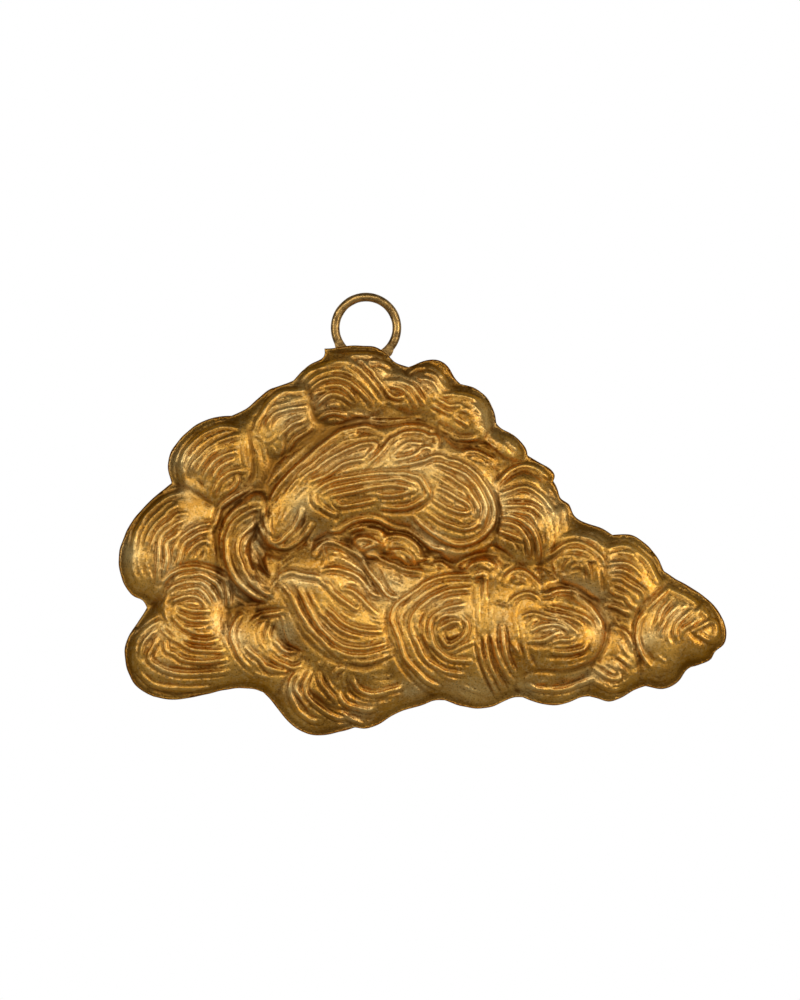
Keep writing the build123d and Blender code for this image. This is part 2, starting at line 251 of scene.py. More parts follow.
CHASINGS = (
    Chasing(
        "upper left lobe",
        ridges="""
236,427 221,426 213,428.7 204,433 197,437.7 191,444 186,450 183,456 181,463 179,468
238,435 229,437.7 222,440.4 215,444 210,447.6 204,453 200,457.4 195,462 192,467 190,473.6
218,447.6 211,453 206,458 201.5,464.6 197,471
236,451.6 228,454 220,457.4 214,462 210.5,466.4 206,473.6 204,480
232,460 222,466 216,473 214,480
244,471 236,471 229,473.6 223,478 218,484.4 215,491.5 214,495
235,475 238,480 236,484.4 231,489.7 226,492.4
250,489 240,494 231,499.6 224,505 219.5,510.4 217,518.5 213,530
244,504.6 237,509 231,514 227,519 225,524.6""",
        fine="""
258,494.6 252,498
243,441 244,452 245,462 247,470
252,437 256,450 259,455""",
        grooves="""
176,466 176,474 179,480
196,478 200,484 206,490""",
        folds="""
246,424 250,434 252,448 253,462 252,478 246,486
171,483 182,487 196,494 208,502 215,506""",
    ),
    Chasing(
        "left lobe",
        ridges="""
180,493 171,495.4 164,498.5 157.6,502.6 152,508 146,514 142,519.6 139,526 136,532 134,540 133,547.4
176,505 169,510.6 164,516 157.6,522 153,527.7 149.5,533 147,540 146,547
186,514 178,515 173,519.6 165.6,525 160,529.5 156,535.8 153,542 151,550
184,519 176,524 169,529.5 163,535 160,540 159.4,547 159,556 158,570 158,582
180,532 173,538.5 166.5,544 167,553 166,566 163,575
214,523.7 206,524.6 198,526.8 191,530.4 184.5,535 180,540 176,547.4 174.6,554.6
209,531 200,533 192.6,537.6 186,542 182,549 180,558 177,566
209,543 204,540.7 199,543 193.5,547.4 189,553.7 187,556.4""",
        fine="""
201,549 198,556 196,561
206,546 207,553
133,570 138,582
146,592 151,598
139,556 140,568 144,580
147,556 148,568 151,580""",
        grooves="""
196,529 189,533 183,538 179,544
204,550 202,556 200,561""",
        folds="""
181,567 195,563 207,566 220,571 226,577""",
    ),
    Chasing(
        "scroll of the lower left",
        ridges="""
164,581.5 171,575 180,570 191,568 200.6,568.5 209.6,571 218,575 225,580.6 227.6,587 228.5,595 228.5,605
178,580 185,576 192,575.7 199,574 207,577 213,580.6 218,585 221,591.4 222.6,596
167,591 175,586 182,583 192.6,581.5 202.4,583 209.6,588 214,594 218,601
183.6,592 189,589.6 198,588 203,591.4 208,597.7 211.4,605
171,602 178,598.6 186,596 196,596.3 202.4,600.4 206,606
187,603.5 192,602.8 198,604
182,606.3 190.6,610 200.5,610.7 210,610
175.4,612 182,616 190.6,620 200.5,620.5 208,620
173,615 177.6,621.6 184,626.5 192,628 204,628
179.7,624 186,628.7 193,632 202.6,633.6 210,633
162,621.6 171,630 177.6,636 186,639.6 197,641 208,641.8 217,639
161,626 169,636 177.6,640.7 186,646 193,649.4 202.6,650.5 213.5,651 223,650.5
166,639 168,651 175,654 181,658.7 188.5,661 199.4,662 211.4,661.4 225.5,659
157,638 153.6,646.7 148.7,657.6 153.6,664 161,668.5 171,672.3 181,674 192,674.5 204,674 217,673 227.7,671
159.6,621 146,630 137,639
157,628 149,636 144,642 141.6,649 141,655
139.4,673 144,678 150,683.7 158,687 169,688.6 184,689.4 199.4,689.4 213.5,687.5
239.7,615 235,624 232,633.6 235,644.5 239.7,655.4 245,663 249.5,667.4
247,646.7 255,655.4 262.6,662 266,668 275,672""",
        fine="""
164.5,611 166.7,618 172,626 179.7,632 188.5,637 197,639
222,632 226,642 229,650
256,615 252,620 250,627
253,671 260,675 272,677
238,645 245,655 251,662
226,618 226,626 229,634
240,668 248,674 258,680""",
        grooves="""
152,690 165,694 190,694 215,690 232,686
170,667 185,669 200,669 220,666""",
        folds="""
146,608 155,604 162,598 166,590 170,582 181,567
228,607 229,616 224,628 219,637
232,612 242,606 252,603 262,603""",
    ),
    Chasing(
        "swirl beside the scroll",
        ridges="""
252,624 258,617 270,614 283,612
272,622 269,628 268,636 270,640
275,639 279,645 284,650 293,652
271,656 278.5,662 287,665.6 294,667.7 299,665.6 304,663
262,662.6 268,666.7 275.4,669.7 283.6,670.8 289,669""",
        fine="""
278,655 285,658 292,661
280,612 284,622 286,632 290,642
262,622 259,632 261,642 266,650""",
        grooves="""
282,640 288,646 296,650 303,652
256,614 264,610 274,608""",
    ),
    Chasing(
        "upper lobe left of the top",
        ridges="""
303,391 292.4,390.4 285,390.7 279,393 273.6,397 269,402 265.5,406.4 263,412 260,417 257.4,421.7 255.6,428 253,432.4
305,406 298,407.8 289,409 281.7,411 275.4,413.6 271,418 268,423.5 268,429
303,420 297,422.6 291.5,425 288,429 283.5,433 281.7,437
310.4,428 306,432.4 299.6,436 295,439.6 291.5,445 289,450""",
        fine="""
252,434.7 258,436 262,439.6 267,442.3 272.7,439.6 278,434
262,440 265,452 266,462
300,413 291,417 284,421
272,446 276,454""",
        grooves="""
286,432 285,445 282,458 279,461
274,404 281,401 290,399""",
    ),
    Chasing(
        "top lobe",
        ridges="""
348,355 358,354.4 372.6,355 381.5,356.6 388,358 392,360.6 395,364 397,368
347.4,361 338.5,362 329.5,364 320.5,366 313,368.7 308,371.4 302.6,376 299,379.5
309,392 313,386.7 319.6,382 327,379 333,378 340,378.6 347.4,381 353.7,385 359,390 364.5,395.6 369,401 371,405
326,386 335,385.3 343,386.7 348,391 353,397.4 355.5,403
316,406.4 321.4,401 326,397 331,394.7 337.6,395 344,397.4 349,401.5 353,404.6
320.5,419 326,415.4 331,413.6 338.5,414 345.7,416
353,362.4 360,368.7 366,375 371,380.4 376,386.7 380.6,393 383,397.4
361,359.7 366,365 373.5,373 378,380 385,389 392,397 402,399
368,362.4 376,361 382.4,362 389,365 393,368.7
382,382 390.5,381.7 399.5,382 406.7,384 412,386.7 416.5,392 420,398 423,403.7
384,386.7 393,386 400.4,388 406.7,392 411,397.4 414.7,405.5
384,391 392,396 400.4,397.4 405,394.7""",
        broad="""
329,407 333,405.5 338,407""",
        fine="""
310.6,398 316,394 321.4,391.6 327,392
350,369 357,374 362,380
350,413 358,415 368,416
371,419 380,421 390,421 400,420 410,419 419,418
330,371 342,371 352,375 360,382
372,368 380,369 387,373""",
        grooves="""
356.4,359 364.5,365 369,369.6 373.5,377 380,386 385,394.7
385,377 395,376 405,378 413,383 420,391 424,398
391,389 398,391 404,394
322,410 325,406 329,402
342,408 346,410 350,411
324,356 336,356.5 346,357.5""",
        folds="""
296,381 304,384 308,390 311,402 314,416 317,424""",
    ),
    Chasing(
        "two lobes right of the top",
        ridges="""
408,372 413.5,368 420,366 427,366 433,368 438.6,372 442,376.4 445,381
427,372 432,373.7 437,378 440.4,383.6 445,387
420.6,378 428,379.6 433,382 436,386 439.5,391
442,396 450,394.4 459,394.4 466.4,395.7 473.6,398 479,400.6
436,399 443,402.4 450,406 458,405 464.6,408 471,411.4
456.5,409 463.7,410.5 469,414
433,405 439.5,408.7 445,411.4 449.4,414
455.6,417 461,421 466.4,425
504,435.6 510.4,442 516,448 521,453.6
509,434 515,441 521,448
440.4,428.5 448.5,433 454.7,437.4 471,439 476,438
463,452.7 470,451.3 478,452 485,455.4 491.5,459 495,462.6""",
        fine="""
470,456 480,458 488,463
414,374 420,373 426,376
476,408 480,412
480,417 484,422
483,427 487,431
486,440 493,446 499,452""",
        grooves="""
412,377 419,382 425,388 432,395
474,412 479,415
480,423 485,427""",
        folds="""
397,362 404,368 409,376 412,386
461,384 455,386 447,386
447,437 462,447 475,443 485,445 495,451 502,458 510,461 520,461.5
496,424 490,432 486,442""",
    ),
    Chasing(
        "arch",
        ridges="""
269,502.7 274,494 279,486 286.5,477.7 293,471 302,463 309.6,456.5 317,450 325,443 334.6,436 344,431 354,428.7 \
365.4,426.5 374,429
346,435 352,434 360.6,431.5
301,481.5 307.7,474 316,469 323,463 331.7,457.5 341,452.7 351,448 360.6,444.5 369,443 376,444 372,452 367,457
311.5,481.5 321,477.7 331.7,472 339.4,466 349,462 358.7,460 365.4,458.5
258.7,522 261.5,529.6 264.4,536 269,543 277,547 286.5,548.4 294,545 302,539 307.7,531.5 312.5,524
266,506.5 264.4,514 266,526 268,535.4 273,542.6 280,542 284.6,538 290.4,532.5 296,526 300,517 303,509.4
269,517 269,528 273,538""",
        fine="""
274,522 275,530
283.7,508.5 280,516 278,525
291,510 285,518 282,524
268,504 273,506 277,503
287,492 294,483 301,476
295,497 302,489 309,484
305,470 314,463 324,455 334,448 345,441 356,437""",
        grooves="""
306,517 303,524 298,531
280,497 287,487 295,478""",
        folds="""
268,492 276,482 287,470 298,459 308,449 318,441 330,432 342,425 352,421 362,419 372,423 385,424.5 400,422 \
412,421 422,423 432,427 440,431 447,437
258,500 256,510 256,520 258,530""",
    ),
    Chasing(
        "lozenge under the arch",
        ridges="""
316,492 325,485 337,480 352,477.5 367,475 380,473.8 396,473.8 407,474.3 413,476 418.6,477.4 423,482 426.7,489 \
428.5,494.5 425,496
324,493 331.7,489 341,486.8 356,484 370,481.5 384.6,480.6 401.5,479 408.7,482 414,485.5
331.7,497 339.4,494.5 351,492 365.4,488.8 380,486 398,485.4 408,488 414,490
379,495.5 391,495.8 400.6,494.5 408.7,491.8 414,490
335.6,501.7 339.4,505.6 346,506 356,504.6 365.4,502.7 374,501
382,507.6 396,508.4 405,508 413,505 420.4,501 426.7,496
321,504.6 324,508.5 329,512 335.6,515
316,492 314,499 319,507""",
        grooves="""
381,512 395,514 408,513 418,509 427,503 433,497
338,512 337,523
341,500 352,498.5 366,496.5 376,496""",
    ),
    Chasing(
        "curl at the top of the arch",
        ridges="""
368,466 375,458.5 383.7,449 391,440 397,437 402.4,433.5 409.6,432 417.7,432 425,434 430,437 434.7,436 \
437.4,441.5 434.7,446
390,451.4 393.5,446 398,441.5 405,439
393.5,456 398,450.5 404,445 411.4,443 419.5,443.8 424,444.7
399,454 407,450.5 416,447.4
393.5,460.4 401.5,459 409.6,457 416,454 421,449.6 427.6,447.4 432,450
399,464 409.6,464 418.6,462 426.7,459.5 433,456.8 439,456 443.7,457.7 447,460.4""",
        fine="""
424,457 430,454
380,466 388,459""",
        grooves="""
376,452 384,444 391,436""",
        folds="""
352,434 366,433 378,436 384,438""",
    ),
    Chasing(
        "right curl of the arch",
        ridges="""
447,460.4 454.5,461 462.6,464 469.7,468.5 476,474 481.4,481 487,489 491,497 494,505 495,513 494,520.5 \
490.4,527.7 485,534 478,539.4 469.7,543 461,544.7 452,543.4 443,539.4 434,534 426.7,528.6 420.4,523 415,518
435.6,463 443,465 452,468.5 461,472 468,476.5 474,483 479.6,491 483,498 486,506 485,516 482,524
443,473 451,477.4 457,482 466,488 470.6,494.5 475,501 478,507 477,515
438,487 446.4,491 454.5,496 461.7,500 468,504.4 470.6,509.7
434,499 442,505 450,509 458,512 466,512.4 471,510
427.6,512.4 435.6,518 443.7,523 452,526 459,528.6 466,529 473,527 478,523""",
        fine="""
438,490 444,496 450,501
431,527 438,531 444.6,536.7
456,519 461,522
468,523 472,522
430,474 438,478 446,484
432,482 438,484""",
        folds="""
414,520 420,530 430,539 442,546 455,549 468,548.5 480,544 490,537 497,528 499,515 497,502 491,488""",
    ),
    Chasing(
        "lobe right of the arch",
        ridges="""
497,485 501.5,478.6 507,473 513,468.7 520.4,466 529.4,465.6 537.4,468 543.7,473 550,478.6
501.5,494 509.6,491 517.7,488 525,487 532,489.4 539,494 544.6,499 549,504.6 555,513
503,507 512,506 523,506 531,507 536.5,511 542,516
502.4,512.7 513,511 523,512 530,514 534,519 536,525
498,519 503,516 513,517 520.4,520 527.6,524.4 533,530.6 536,537 539,551 539,562
502,522.6 510.5,523.5 517.7,527 523,533 527,540 529,548 529,557
500,531.5 508.7,534 517.7,538 525,540.5""",
        fine="""
557,508 559,520 558,532
563,505 566,520 566,530
551,522 553,534 552,546
545,520 548,532 548,544
549,487 554,494 558,500
571,517 574,522""",
        grooves="""
505,502.5 520,502 533,504 542,509 547,513
505,509.5 520,509.5 530,511 537,515 540,520
511,520 519.5,524.4 525,530.6 528.5,538.7
503,536 512,540 517,547 519,553
492,546 500,550 508,555 513,560
503,483 510,477 518,473 527,472 536,475 543,481
541,529 545,541 545,554""",
        folds="""
497,468 503,466 510,462""",
    ),
    Chasing(
        "two lobes of the right slope",
        ridges="""
548,557.6 553.6,553 560,547.7 566,544 573,542 581.4,543 588.6,547 596,552 602,558.5 605.6,564.7
583,536.5 590.4,538 596.7,542 603,546
565,551 571.5,549.5 579.6,550 587,553 593,557.6 598,563
564.4,557 573,556 582,557.6 590.4,560 596.7,559.4
565,569 570,561 577,560 585,563 588,570 589,580
572,567 577,565 582,567 585,571
609,548 617,546 625,545 633.5,548.5 640,554 647,560 652,567 655,574 659,579.6
609,564.6 617,563 626.5,563.5 633.5,567.5 640,574
612.7,578.5 621,578.5 627.7,583 636,587.7 641.5,592 643,599
611.5,590 618.5,594.6 626.5,598 630,604 634.6,607
607,605.6 615,607 623,611 628,614""",
        broad="""
622,551 630,553 637,557""",
        fine="""
572,573 577,571.5
553,563 556,572 557,580
612,571 621,570 630,574 638,580
612,584 620,586 628,591""",
        grooves="""
599,568 602,578 602,588
561,560 557,570
610,558 620,556 630,558
604,594 610,598 616,601""",
        folds="""
543,548 541,560 541,572 543,582
606,548 606,560 606,572 604,584 603,594""",
    ),
    Chasing(
        "pointed cone at the right end",
        ridges="""
649,608.5 655,601.5 662,594.6 669,587.7
644,613 639,621 637,630 637,640 640,650 645,660 650,667
670,587.7 678.5,593 687.7,597 696,603
669,601.5 662,609.6 658,620 656,627
678,605 671,612 665,620 661,628 660,634
690,611 681,619 676,626 675,633 677,640
696,614 702.7,608.5 706,614 709,618
681,636 684,629 690,625 696,619
693.5,630 701.5,626 711,621 715,622 718,630 717.7,638.5
699,634 705,638.5 713,641 717,641""",
        fine="""
703,632 710,636 716,638
704,628 712,623
657,655 661,659 665,661
650,620 648,630 649,640
699,608 705,604 710,607
686,604 678,610
668,629 667,637 670,644""",
        grooves="""
676,598 668,606 661,614
712,606 718,614 722,622
690,632 694,637 700,641
647,648 651,657 657,664""",
        folds="""
669,582 662,588 652,597 644,605 638,614 634,624 634,640 637,655 641,670 640,680""",
    ),
    Chasing(
        "left whorl",
        ridges="""
472.7,576 461,575 449.6,575.4 440,577 431,580 423.7,584 416,590 408,595.6 400.6,601 396,605 393,612 392,619.6 \
395,627 397.7,635 400.6,643.7 402.5,651 406,659 412,666.7 419,673.5 425.6,680 432,684 439,687.4
470,587.4 459,589 449.6,590 440,593.7 431,598.5 422.7,605 415,613 411.6,621.5 411.6,630 414,636 419,646.5 \
422.7,655 428.5,662 436,666.7 445,671.5 454.4,673.5 464,674.4
464,604 455.4,605.7 446.7,608 439,612 433,616.7 430.4,622.5 429.4,630 431,637 433,643.7 438,650.4 444,656 \
449.6,659 459,660.5 470,660.5
436,621.5 442,616 449.6,614 453,615
440,629 446.7,624.4 453.5,621.5 459,622.5 461,627
441,632 444,641.7 447.7,645.6 455.4,642.7 463,637 467,629 466,621.5 461,616.7
453,650 462,646 471,642""",
        broad="""
440,602 448,598.5 457,596.5
421,612 417,622 418,632""",
        fine="""
447,637 452,635 457,633
460,684 472,690 486,695
455,690 468,698
445,580 447,584
425,658 433,667 443,675 455,680
404,610 401,618 402,627
425,620 424,630 427,640 433,649""",
        grooves="""
444.5,634 449,629 457,626
420,588 408,598 401,606
446,587 434,592 424,598 414,606 405,616 404,628
446,599 434,605 425,613 420,623 420,633 424,644 430,654 438,662
447,634 449,640 456,638 461,632""",
        folds="""
396,601 392,594 390,590
388,607 386,618 388,632 392,646 397,658 404,670 414,682 426,692 440,699""",
    ),
    Chasing(
        "binding band",
        ridges="""
478,640 480,652 483,664 488,676 494,688 498,696
484.5,636 486,648 488.5,660 493,672 500,684 505,690
494,636 496,650 501,663 507,674 513,682
502,626 503,638 505,652 509,664 514,674
514,642.7 519,656
486,576 485,586 485,600
473,578 478,575 483,573
490,578 494,574""",
        broad="""
498,575 499,576""",
        fine="""
478,600 478,612 478,622
491,604 491,614 492,624
502,606 503,616
481,606 483,607
513,612 516,626 518,640
521,620 523,640 526,655 530,665
495,586 497,596""",
        grooves="""
475.6,622.5 476.5,633 478.5,644.6 479.4,654 481,666 485,675 490,686 494,693.7
488,633 490,646.5 492,656 496,667.7 501.5,677 508,686
497.7,622.5 497,632 497.7,646.5
505.4,626 508,640 510,652 513,662 516,668.7
482,636 483.5,648 486,660
476,582 481,579 484,585
492,580 491,590
489,602 500,603 508,606
530,650 533,660 537,668""",
        folds="""
474,588 473,597 474,606""",
    ),
    Chasing(
        "right whorl",
        ridges="""
505,580 508,575 514,571 520,570 527,573 534,579 539,586
516,573 523,577 529,582
511,603 515,597 521,594 527,592.7 534,595 539,599
541,594 547.6,594 554.6,591 563.5,590 571.5,591 578,596 585,601 591,607.6 596,614.6 600,620.6 602,626.5
549.6,607 561.5,608.6 571.5,611.6 580,614.6 587,618.6 593,624.5
543.6,611 554.6,613.6 565.5,615.6 575,619 582,623.5
523,617 529,614 536,613.5 544,616.5 555,618.5 564,622 571,627.5 577,633
529,624.5 532,619.6 537,616.5
533,630.5 538,626.5 545,624.5 553.6,623.5 562.5,626.5 569.5,631.5
530,640.4 540,640 548.6,637.4 554.6,633.5 560,632
554.6,640.4 563.5,639.4 571.5,638.4 574.4,633.5
551.6,651.4 563.5,652.8 575,651.4 584,648 587,642.4""",
        fine="""
512,583 518,586 522,584
566,645 573,644 579,642
535,602 545,602 555,602
520,600 516,608 515,616
545,630 552,629 558,630""",
        grooves="""
545,657 560,658 575,656 585,652
530,632 538,633 546,633 552,630
543,620 552,622 560,626 567,632
540,607 556,611 570,615
528,645 540,646 552,645""",
        folds="""
543,588 555,585 568,585.5 580,590 590,597 597,603 600,610 605,620 608,630 606,642 602,652 595,661 585,667 \
570,671.5 555,672.5 540,671 530,672 520,678""",
    ),
    Chasing(
        "lower edge",
        ridges="""
528,685 534,688 542.6,690 554.6,690.6 567.5,689 577,685 585,682 592,679
593,680 599,684 606,688 614,690 624,688
597,663 605,667 612,672 618,676
603,661 611,665 618,671 620,678 614,679 606,676 599,671 595,668
607,659 615,663 622,669 626,674
617,626 625,632 630,640 633,650""",
        fine="""
533,683 549,681
522,692 528,696 533,700
601,681 610,685 620,684 628,680
617,656 625,661 632,667
620,640 624,650 629,656
540,667 560,667 575,665 588,660
612,616 618,622 622,628
646,672 652,678 660,680 668,677""",
        grooves="""
532,685.5 545,686.5
616,622 622,627 628,633
606,668 612,673 615,675""",
        folds="""
523,697 517,691 514,684
590,696 589,690 592,685
645,686 642,680""",
    ),
    Chasing(
        "shell",
        ridges="""
315,552.6 318,547.4 323,543 330,542 338.5,544 347.7,548.5 356,554.6 363,561 368,569 373,576 379.5,584 \
384.6,591.5 390,596 399,598
323,571 328,569 338.5,569 347.7,571.5 356,575 363,581 369,588.5 373,593.6 379.5,595
321,580 327,585 332,590.5 337.4,595.6 344.6,601 352,606 357,608.5 359.5,604
344.6,588.5 352,590.5 359,595.6 365,602 371,608 377.4,613
324,604 330,610 336.4,616 342.6,622 351,626.4 359,629 368,630.5 381.5,630.5
322,611 328,618 335.4,625.4 342.6,630.5 351,634 360,636
301.5,590.5 305.6,600 309.7,609 315,618 320,626.4 327,633.6 335.4,641 345.6,646 356,648 367,648 378.5,645 386.7,643
284,585 289,591.5 294.4,600 298.5,609 303.6,618 309.7,627.4 318,635.6 326,644 333,651 341.5,656
330,646 338.5,651 346.7,654.6 356,656 367,655.6 378.5,653 392,648
348.7,659 358,661 369,661 380.5,657.7 393,652""",
        broad="""
280,576 292,572 305,575 317,577 322,580""",
        fine="""
366,575 370,583 375,591 378,594
326,578 337,592 345,598 352,603
322,543 326,556 322,568
282,567 294,557
272,593.6 274,585 278,578
370,618 380,621 388,620
310,590 314,600 320,609
331,556 344,559 356,566""",
        grooves="""
328,563.5 337,563 347,566 356,571 364,578 370,586
348,585 358,587 366,594 372,600
333,600 341,608 350,613 358,616
291,582 299,596 306,611 314,624 324,636 334,645""",
        folds="""
312,548 318,540 328,535 340,536 350,542 358,549 366,557 374,565 380,573 386,583 390,592
281,590 286,602 292,614 298,626 304,636 312,645 322,653 333,660 345,665 360,667.5 372,667 385,662""",
    ),
    Chasing(
        "scallops between the arch and the whorls",
        ridges="""
332,532 340,530 346,526 352.6,522 361,519.6 371,519 379,520.6 385,524 393.6,528 402,530 410,532 417,536.5 \
425,542.7 433.6,548 442,550
350.5,531 356.7,529 366,528 375,529 380,531 383,534
353.6,542.7 357.7,539 365,538 372,540 378,543 383,546
361,550 368,547 375,545 380,547
384,539 390.5,536 397.7,535.5 406,537.6 412,540.6 417,546 420,552
387,551 395.6,551 403,552 409,556 412,560 414,564
391,557 397.7,555.5 404,559 408,564
368,556 374,556 381,559 388.5,562.7 395.6,565 403,569 412,570.4 422,572.4
416,559.6 422,558.6 431.5,559.6
433.6,565 438.7,563 446,566
468.6,568.5 472.6,564.5 479,562 488,562 494,566""",
        fine="""
392,541 399,541
476,567 484,565 490,568
390,578 396,582 402,584.5
424,565 430,566 436,569""",
        grooves="""
390,576 395,573 400,577 404,583
378,570 384,580 389,590 393,595
356,535 364,533 374,534
389,545 398,545 407,547
416,565 424,568
472,571 482,570 492,572""",
        folds="""
330,535 345,534 350,526 360,522.5 370,522 379,525 385,532
386,534 394,531 403,532 412,536 418,542 421,550
421,552 430,553 440,555 447,562 455,568 466,571
468,560 475,556 485,555 494,560""",
    ),
    Chasing(
        "bottom lobe",
        ridges="""
301,668.7 296,674 292,680 290,688 291,695 294,703.6 298,711 304,716 311,720.5 320.5,721.5
304,667.7 301,675 296,689 301,697 305,703.6 311,708.7
310,671 307,678 305,685 306,693 311,700.5 317,705.6 325.6,712 334,717 342,719 348,718.5
319.5,674 321.5,683 326.7,690 332,696.4 337,700.5
339,693 342,699.5 347,704.6 355.4,707.7 362.6,709.7 370,710 375,708.7
352,677 355,684 359.5,690 365.6,693 375,694.4 385,692 395.4,689 402.6,686.7
342,667 337,671 333,675
340,713 347,716 352,720 358,723 364,727""",
        broad="""
320.5,664 321,665""",
        fine="""
313,678 314,681 315,684
370,676 380,676.5 391,676
331,726 342,725 350,722
367,684 368,685
364,689 366,690
327,676 330,684 336,691
345,672 344,682 348,690""",
        grooves="""
347,683 350,692 357,698 366,701.5 378,701 395,697
340,673 338,678 336,683
309,690 314,699 322,706 332,712
300,690 300,700 306,708""",
        folds="""
310,690 320,700 332,707 345,712 360,717 375,720
294,664 288,674 283,684 277,694 271,698""",
    ),
    Chasing(
        "crescent left of the arch",
        ridges="""
259,508.5 254,509 248,512 242,515.4 236.5,519 232,524.6 229,531 226.5,537.7 226.5,548 227,557 229,565.4 \
232,573 237,581 243.5,587.7 249.6,593 256,597.7 264,600
256.5,522.7 251,527.7 246,532 241,537 239,542 238,552 242,563 245,571 249,577.7 253.5,584 259,588.5 265,593 271,596
255,527.7 252,534 249,539 246,545.4 246,550
253.5,553 256,559 259,567 262.7,573 268,578.5
252.7,577 257,582 262.7,587""",
        fine="""
268,552 267,560 269,567
234,589 238,594 244,597.7 249,601
238,600 242,603 246,606
248,556 250,565 254,573""",
        grooves="""
249,520 242,526 236,532 233,541 232,552 234,564 238,573 244,581
262,556 263,566 267,573""",
        folds="""
215,520 215,532 217,545 220,556 224,565 228,575 234,585 243,595 253,601 262,603
262,536 262,546 268,552 276,556 286,556
276,562 277,572 276,584 279,594""",
    ),
)


def read_places(line: str) -> np.ndarray:
    """Read one line of pixel places.

    Args:
        line: places as "across,down", with a blank between two of them.

    Returns:
        One row of two numbers for each place.
    """
    return np.array([place.split(",") for place in line.split()], dtype=float)


def smooth_run(places: np.ndarray, step: float) -> np.ndarray:
    """Lay a smooth line through places: natural cubics over the chord length.

    Args:
        places: the places that the line goes through.
        step: how far apart the points of the result are, about.

    Returns:
        The points along the line, its two ends among them.
    """
    chords = np.hypot(*np.diff(places, axis=0).T)
    knots = np.concatenate([[0.0], np.cumsum(chords)])
    stations = np.linspace(0.0, knots[-1], max(3, int(round(knots[-1] / step)) + 1))
    if len(places) == 2:
        share = (stations / knots[-1])[:, None]
        return places[0] * (1.0 - share) + places[1] * share
    count = len(places)
    system = np.eye(count)
    inner = np.arange(1, count - 1)
    system[inner, inner - 1] = chords[:-1]
    system[inner, inner] = 2.0 * (chords[:-1] + chords[1:])
    system[inner, inner + 1] = chords[1:]
    pull = np.zeros((count, 2))
    slopes = np.diff(places, axis=0) / chords[:, None]
    pull[1:-1] = 6.0 * np.diff(slopes, axis=0)
    bends = np.linalg.solve(system, pull)
    span = np.clip(np.searchsorted(knots, stations, side="right") - 1, 0, count - 2)
    width = chords[span][:, None]
    after = (stations - knots[span])[:, None] / width
    before = 1.0 - after
    bend = (before**3 - before) * bends[span] + (after**3 - after) * bends[span + 1]
    return before * places[span] + after * places[span + 1] + width**2 / 6.0 * bend


def distance_to_run(places: np.ndarray, run: np.ndarray) -> tuple[np.ndarray, np.ndarray]:
    """Measure how far places lie from a run of short straight pieces.

    Args:
        places: the places to measure.
        run: the points of the run; a closed one ends where it starts.

    Returns:
        The least distance of each place, and how far along the run its nearest point is.
    """
    pieces = np.diff(run, axis=0)
    squared = np.maximum((pieces**2).sum(axis=1), 1e-9)
    lengths = np.sqrt(squared)
    starts = np.concatenate([[0.0], np.cumsum(lengths)])[:-1]
    least = np.empty(len(places))
    along = np.empty(len(places))
    for block in np.array_split(np.arange(len(places)), max(1, len(places) * len(pieces) // 1500000)):
        offset = places[block][:, None, :] - run[:-1][None]
        share = np.clip((offset * pieces).sum(axis=2) / squared, 0.0, 1.0)
        gap = offset - share[..., None] * pieces
        squares = (gap**2).sum(axis=2)
        nearest = squares.argmin(axis=1)
        rows = np.arange(len(block))
        least[block] = np.sqrt(squares[rows, nearest])
        along[block] = starts[nearest] + share[rows, nearest] * lengths[nearest]
    return least, along


def lies_inside(places: np.ndarray, loop: np.ndarray) -> np.ndarray:
    """Tell which places a closed loop holds: a ray to the right crosses it an odd number of times.

    Args:
        places: the places to test.
        loop: the points of the closed loop, the first repeated at the end.

    Returns:
        True for each place inside.
    """
    inside = np.zeros(len(places), dtype=bool)
    across, down = places.T
    for (x0, y0), (x1, y1) in zip(loop[:-1], loop[1:]):
        if y0 != y1:
            inside ^= ((y1 > down) != (y0 > down)) & (across < x0 + (x1 - x0) * (down - y0) / (y1 - y0))
    return inside


def smooth_step(share: np.ndarray) -> np.ndarray:
    """Ease from 0 to 1: three times the square less twice the cube."""
    share = np.clip(share, 0.0, 1.0)
    return share * share * (3.0 - 2.0 * share)


def along_and_beside(places: np.ndarray, oval: list[float]) -> tuple[np.ndarray, np.ndarray]:
    """Measure places from the middle of a turned oval, in its own half length and half width.

    Args:
        places: the places, in pixels.
        oval: its middle across and down, half length, half width, and turn in degrees.

    Returns:
        How far each place lies along the oval and beside it, 1 at its edge.
    """
    across, down, half_length, half_width, turn = oval
    angle = np.radians(turn)
    right, up = places[:, 0] - across, down - places[:, 1]
    along = (right * np.cos(angle) + up * np.sin(angle)) / half_length
    beside = (up * np.cos(angle) - right * np.sin(angle)) / half_width
    return along, beside


def make_piece(name: str, points: np.ndarray, triangles: np.ndarray, marks: dict[str, np.ndarray]) -> bpy.types.Object:
    """Put points and triangles into a new smooth piece at the origin.

    Args:
        name: the piece's name.
        points: its points in metres.
        triangles: three point numbers for each face, in the order that faces it outwards.
        marks: named values for each point, which the finish reads.

    Returns:
        The piece, linked into the scene.
    """
    mesh = bpy.data.meshes.new(name)
    mesh.vertices.add(len(points))
    mesh.vertices.foreach_set("co", np.ascontiguousarray(points, dtype=np.float32).ravel())
    mesh.loops.add(3 * len(triangles))
    mesh.loops.foreach_set("vertex_index", np.ascontiguousarray(triangles, dtype=np.int32).ravel())
    mesh.polygons.add(len(triangles))
    mesh.polygons.foreach_set("loop_start", np.arange(0, 3 * len(triangles), 3, dtype=np.int32))
    mesh.polygons.foreach_set("use_smooth", np.ones(len(triangles), dtype=bool))
    mesh.update(calc_edges=True)
    mesh.validate()
    for mark, values in marks.items():
        layer = mesh.attributes.new(mark, "FLOAT", "POINT")
        layer.data.foreach_set("value", np.ascontiguousarray(values, dtype=np.float32))
    piece = bpy.data.objects.new(name, mesh)
    bpy.context.scene.collection.objects.link(piece)
    return piece


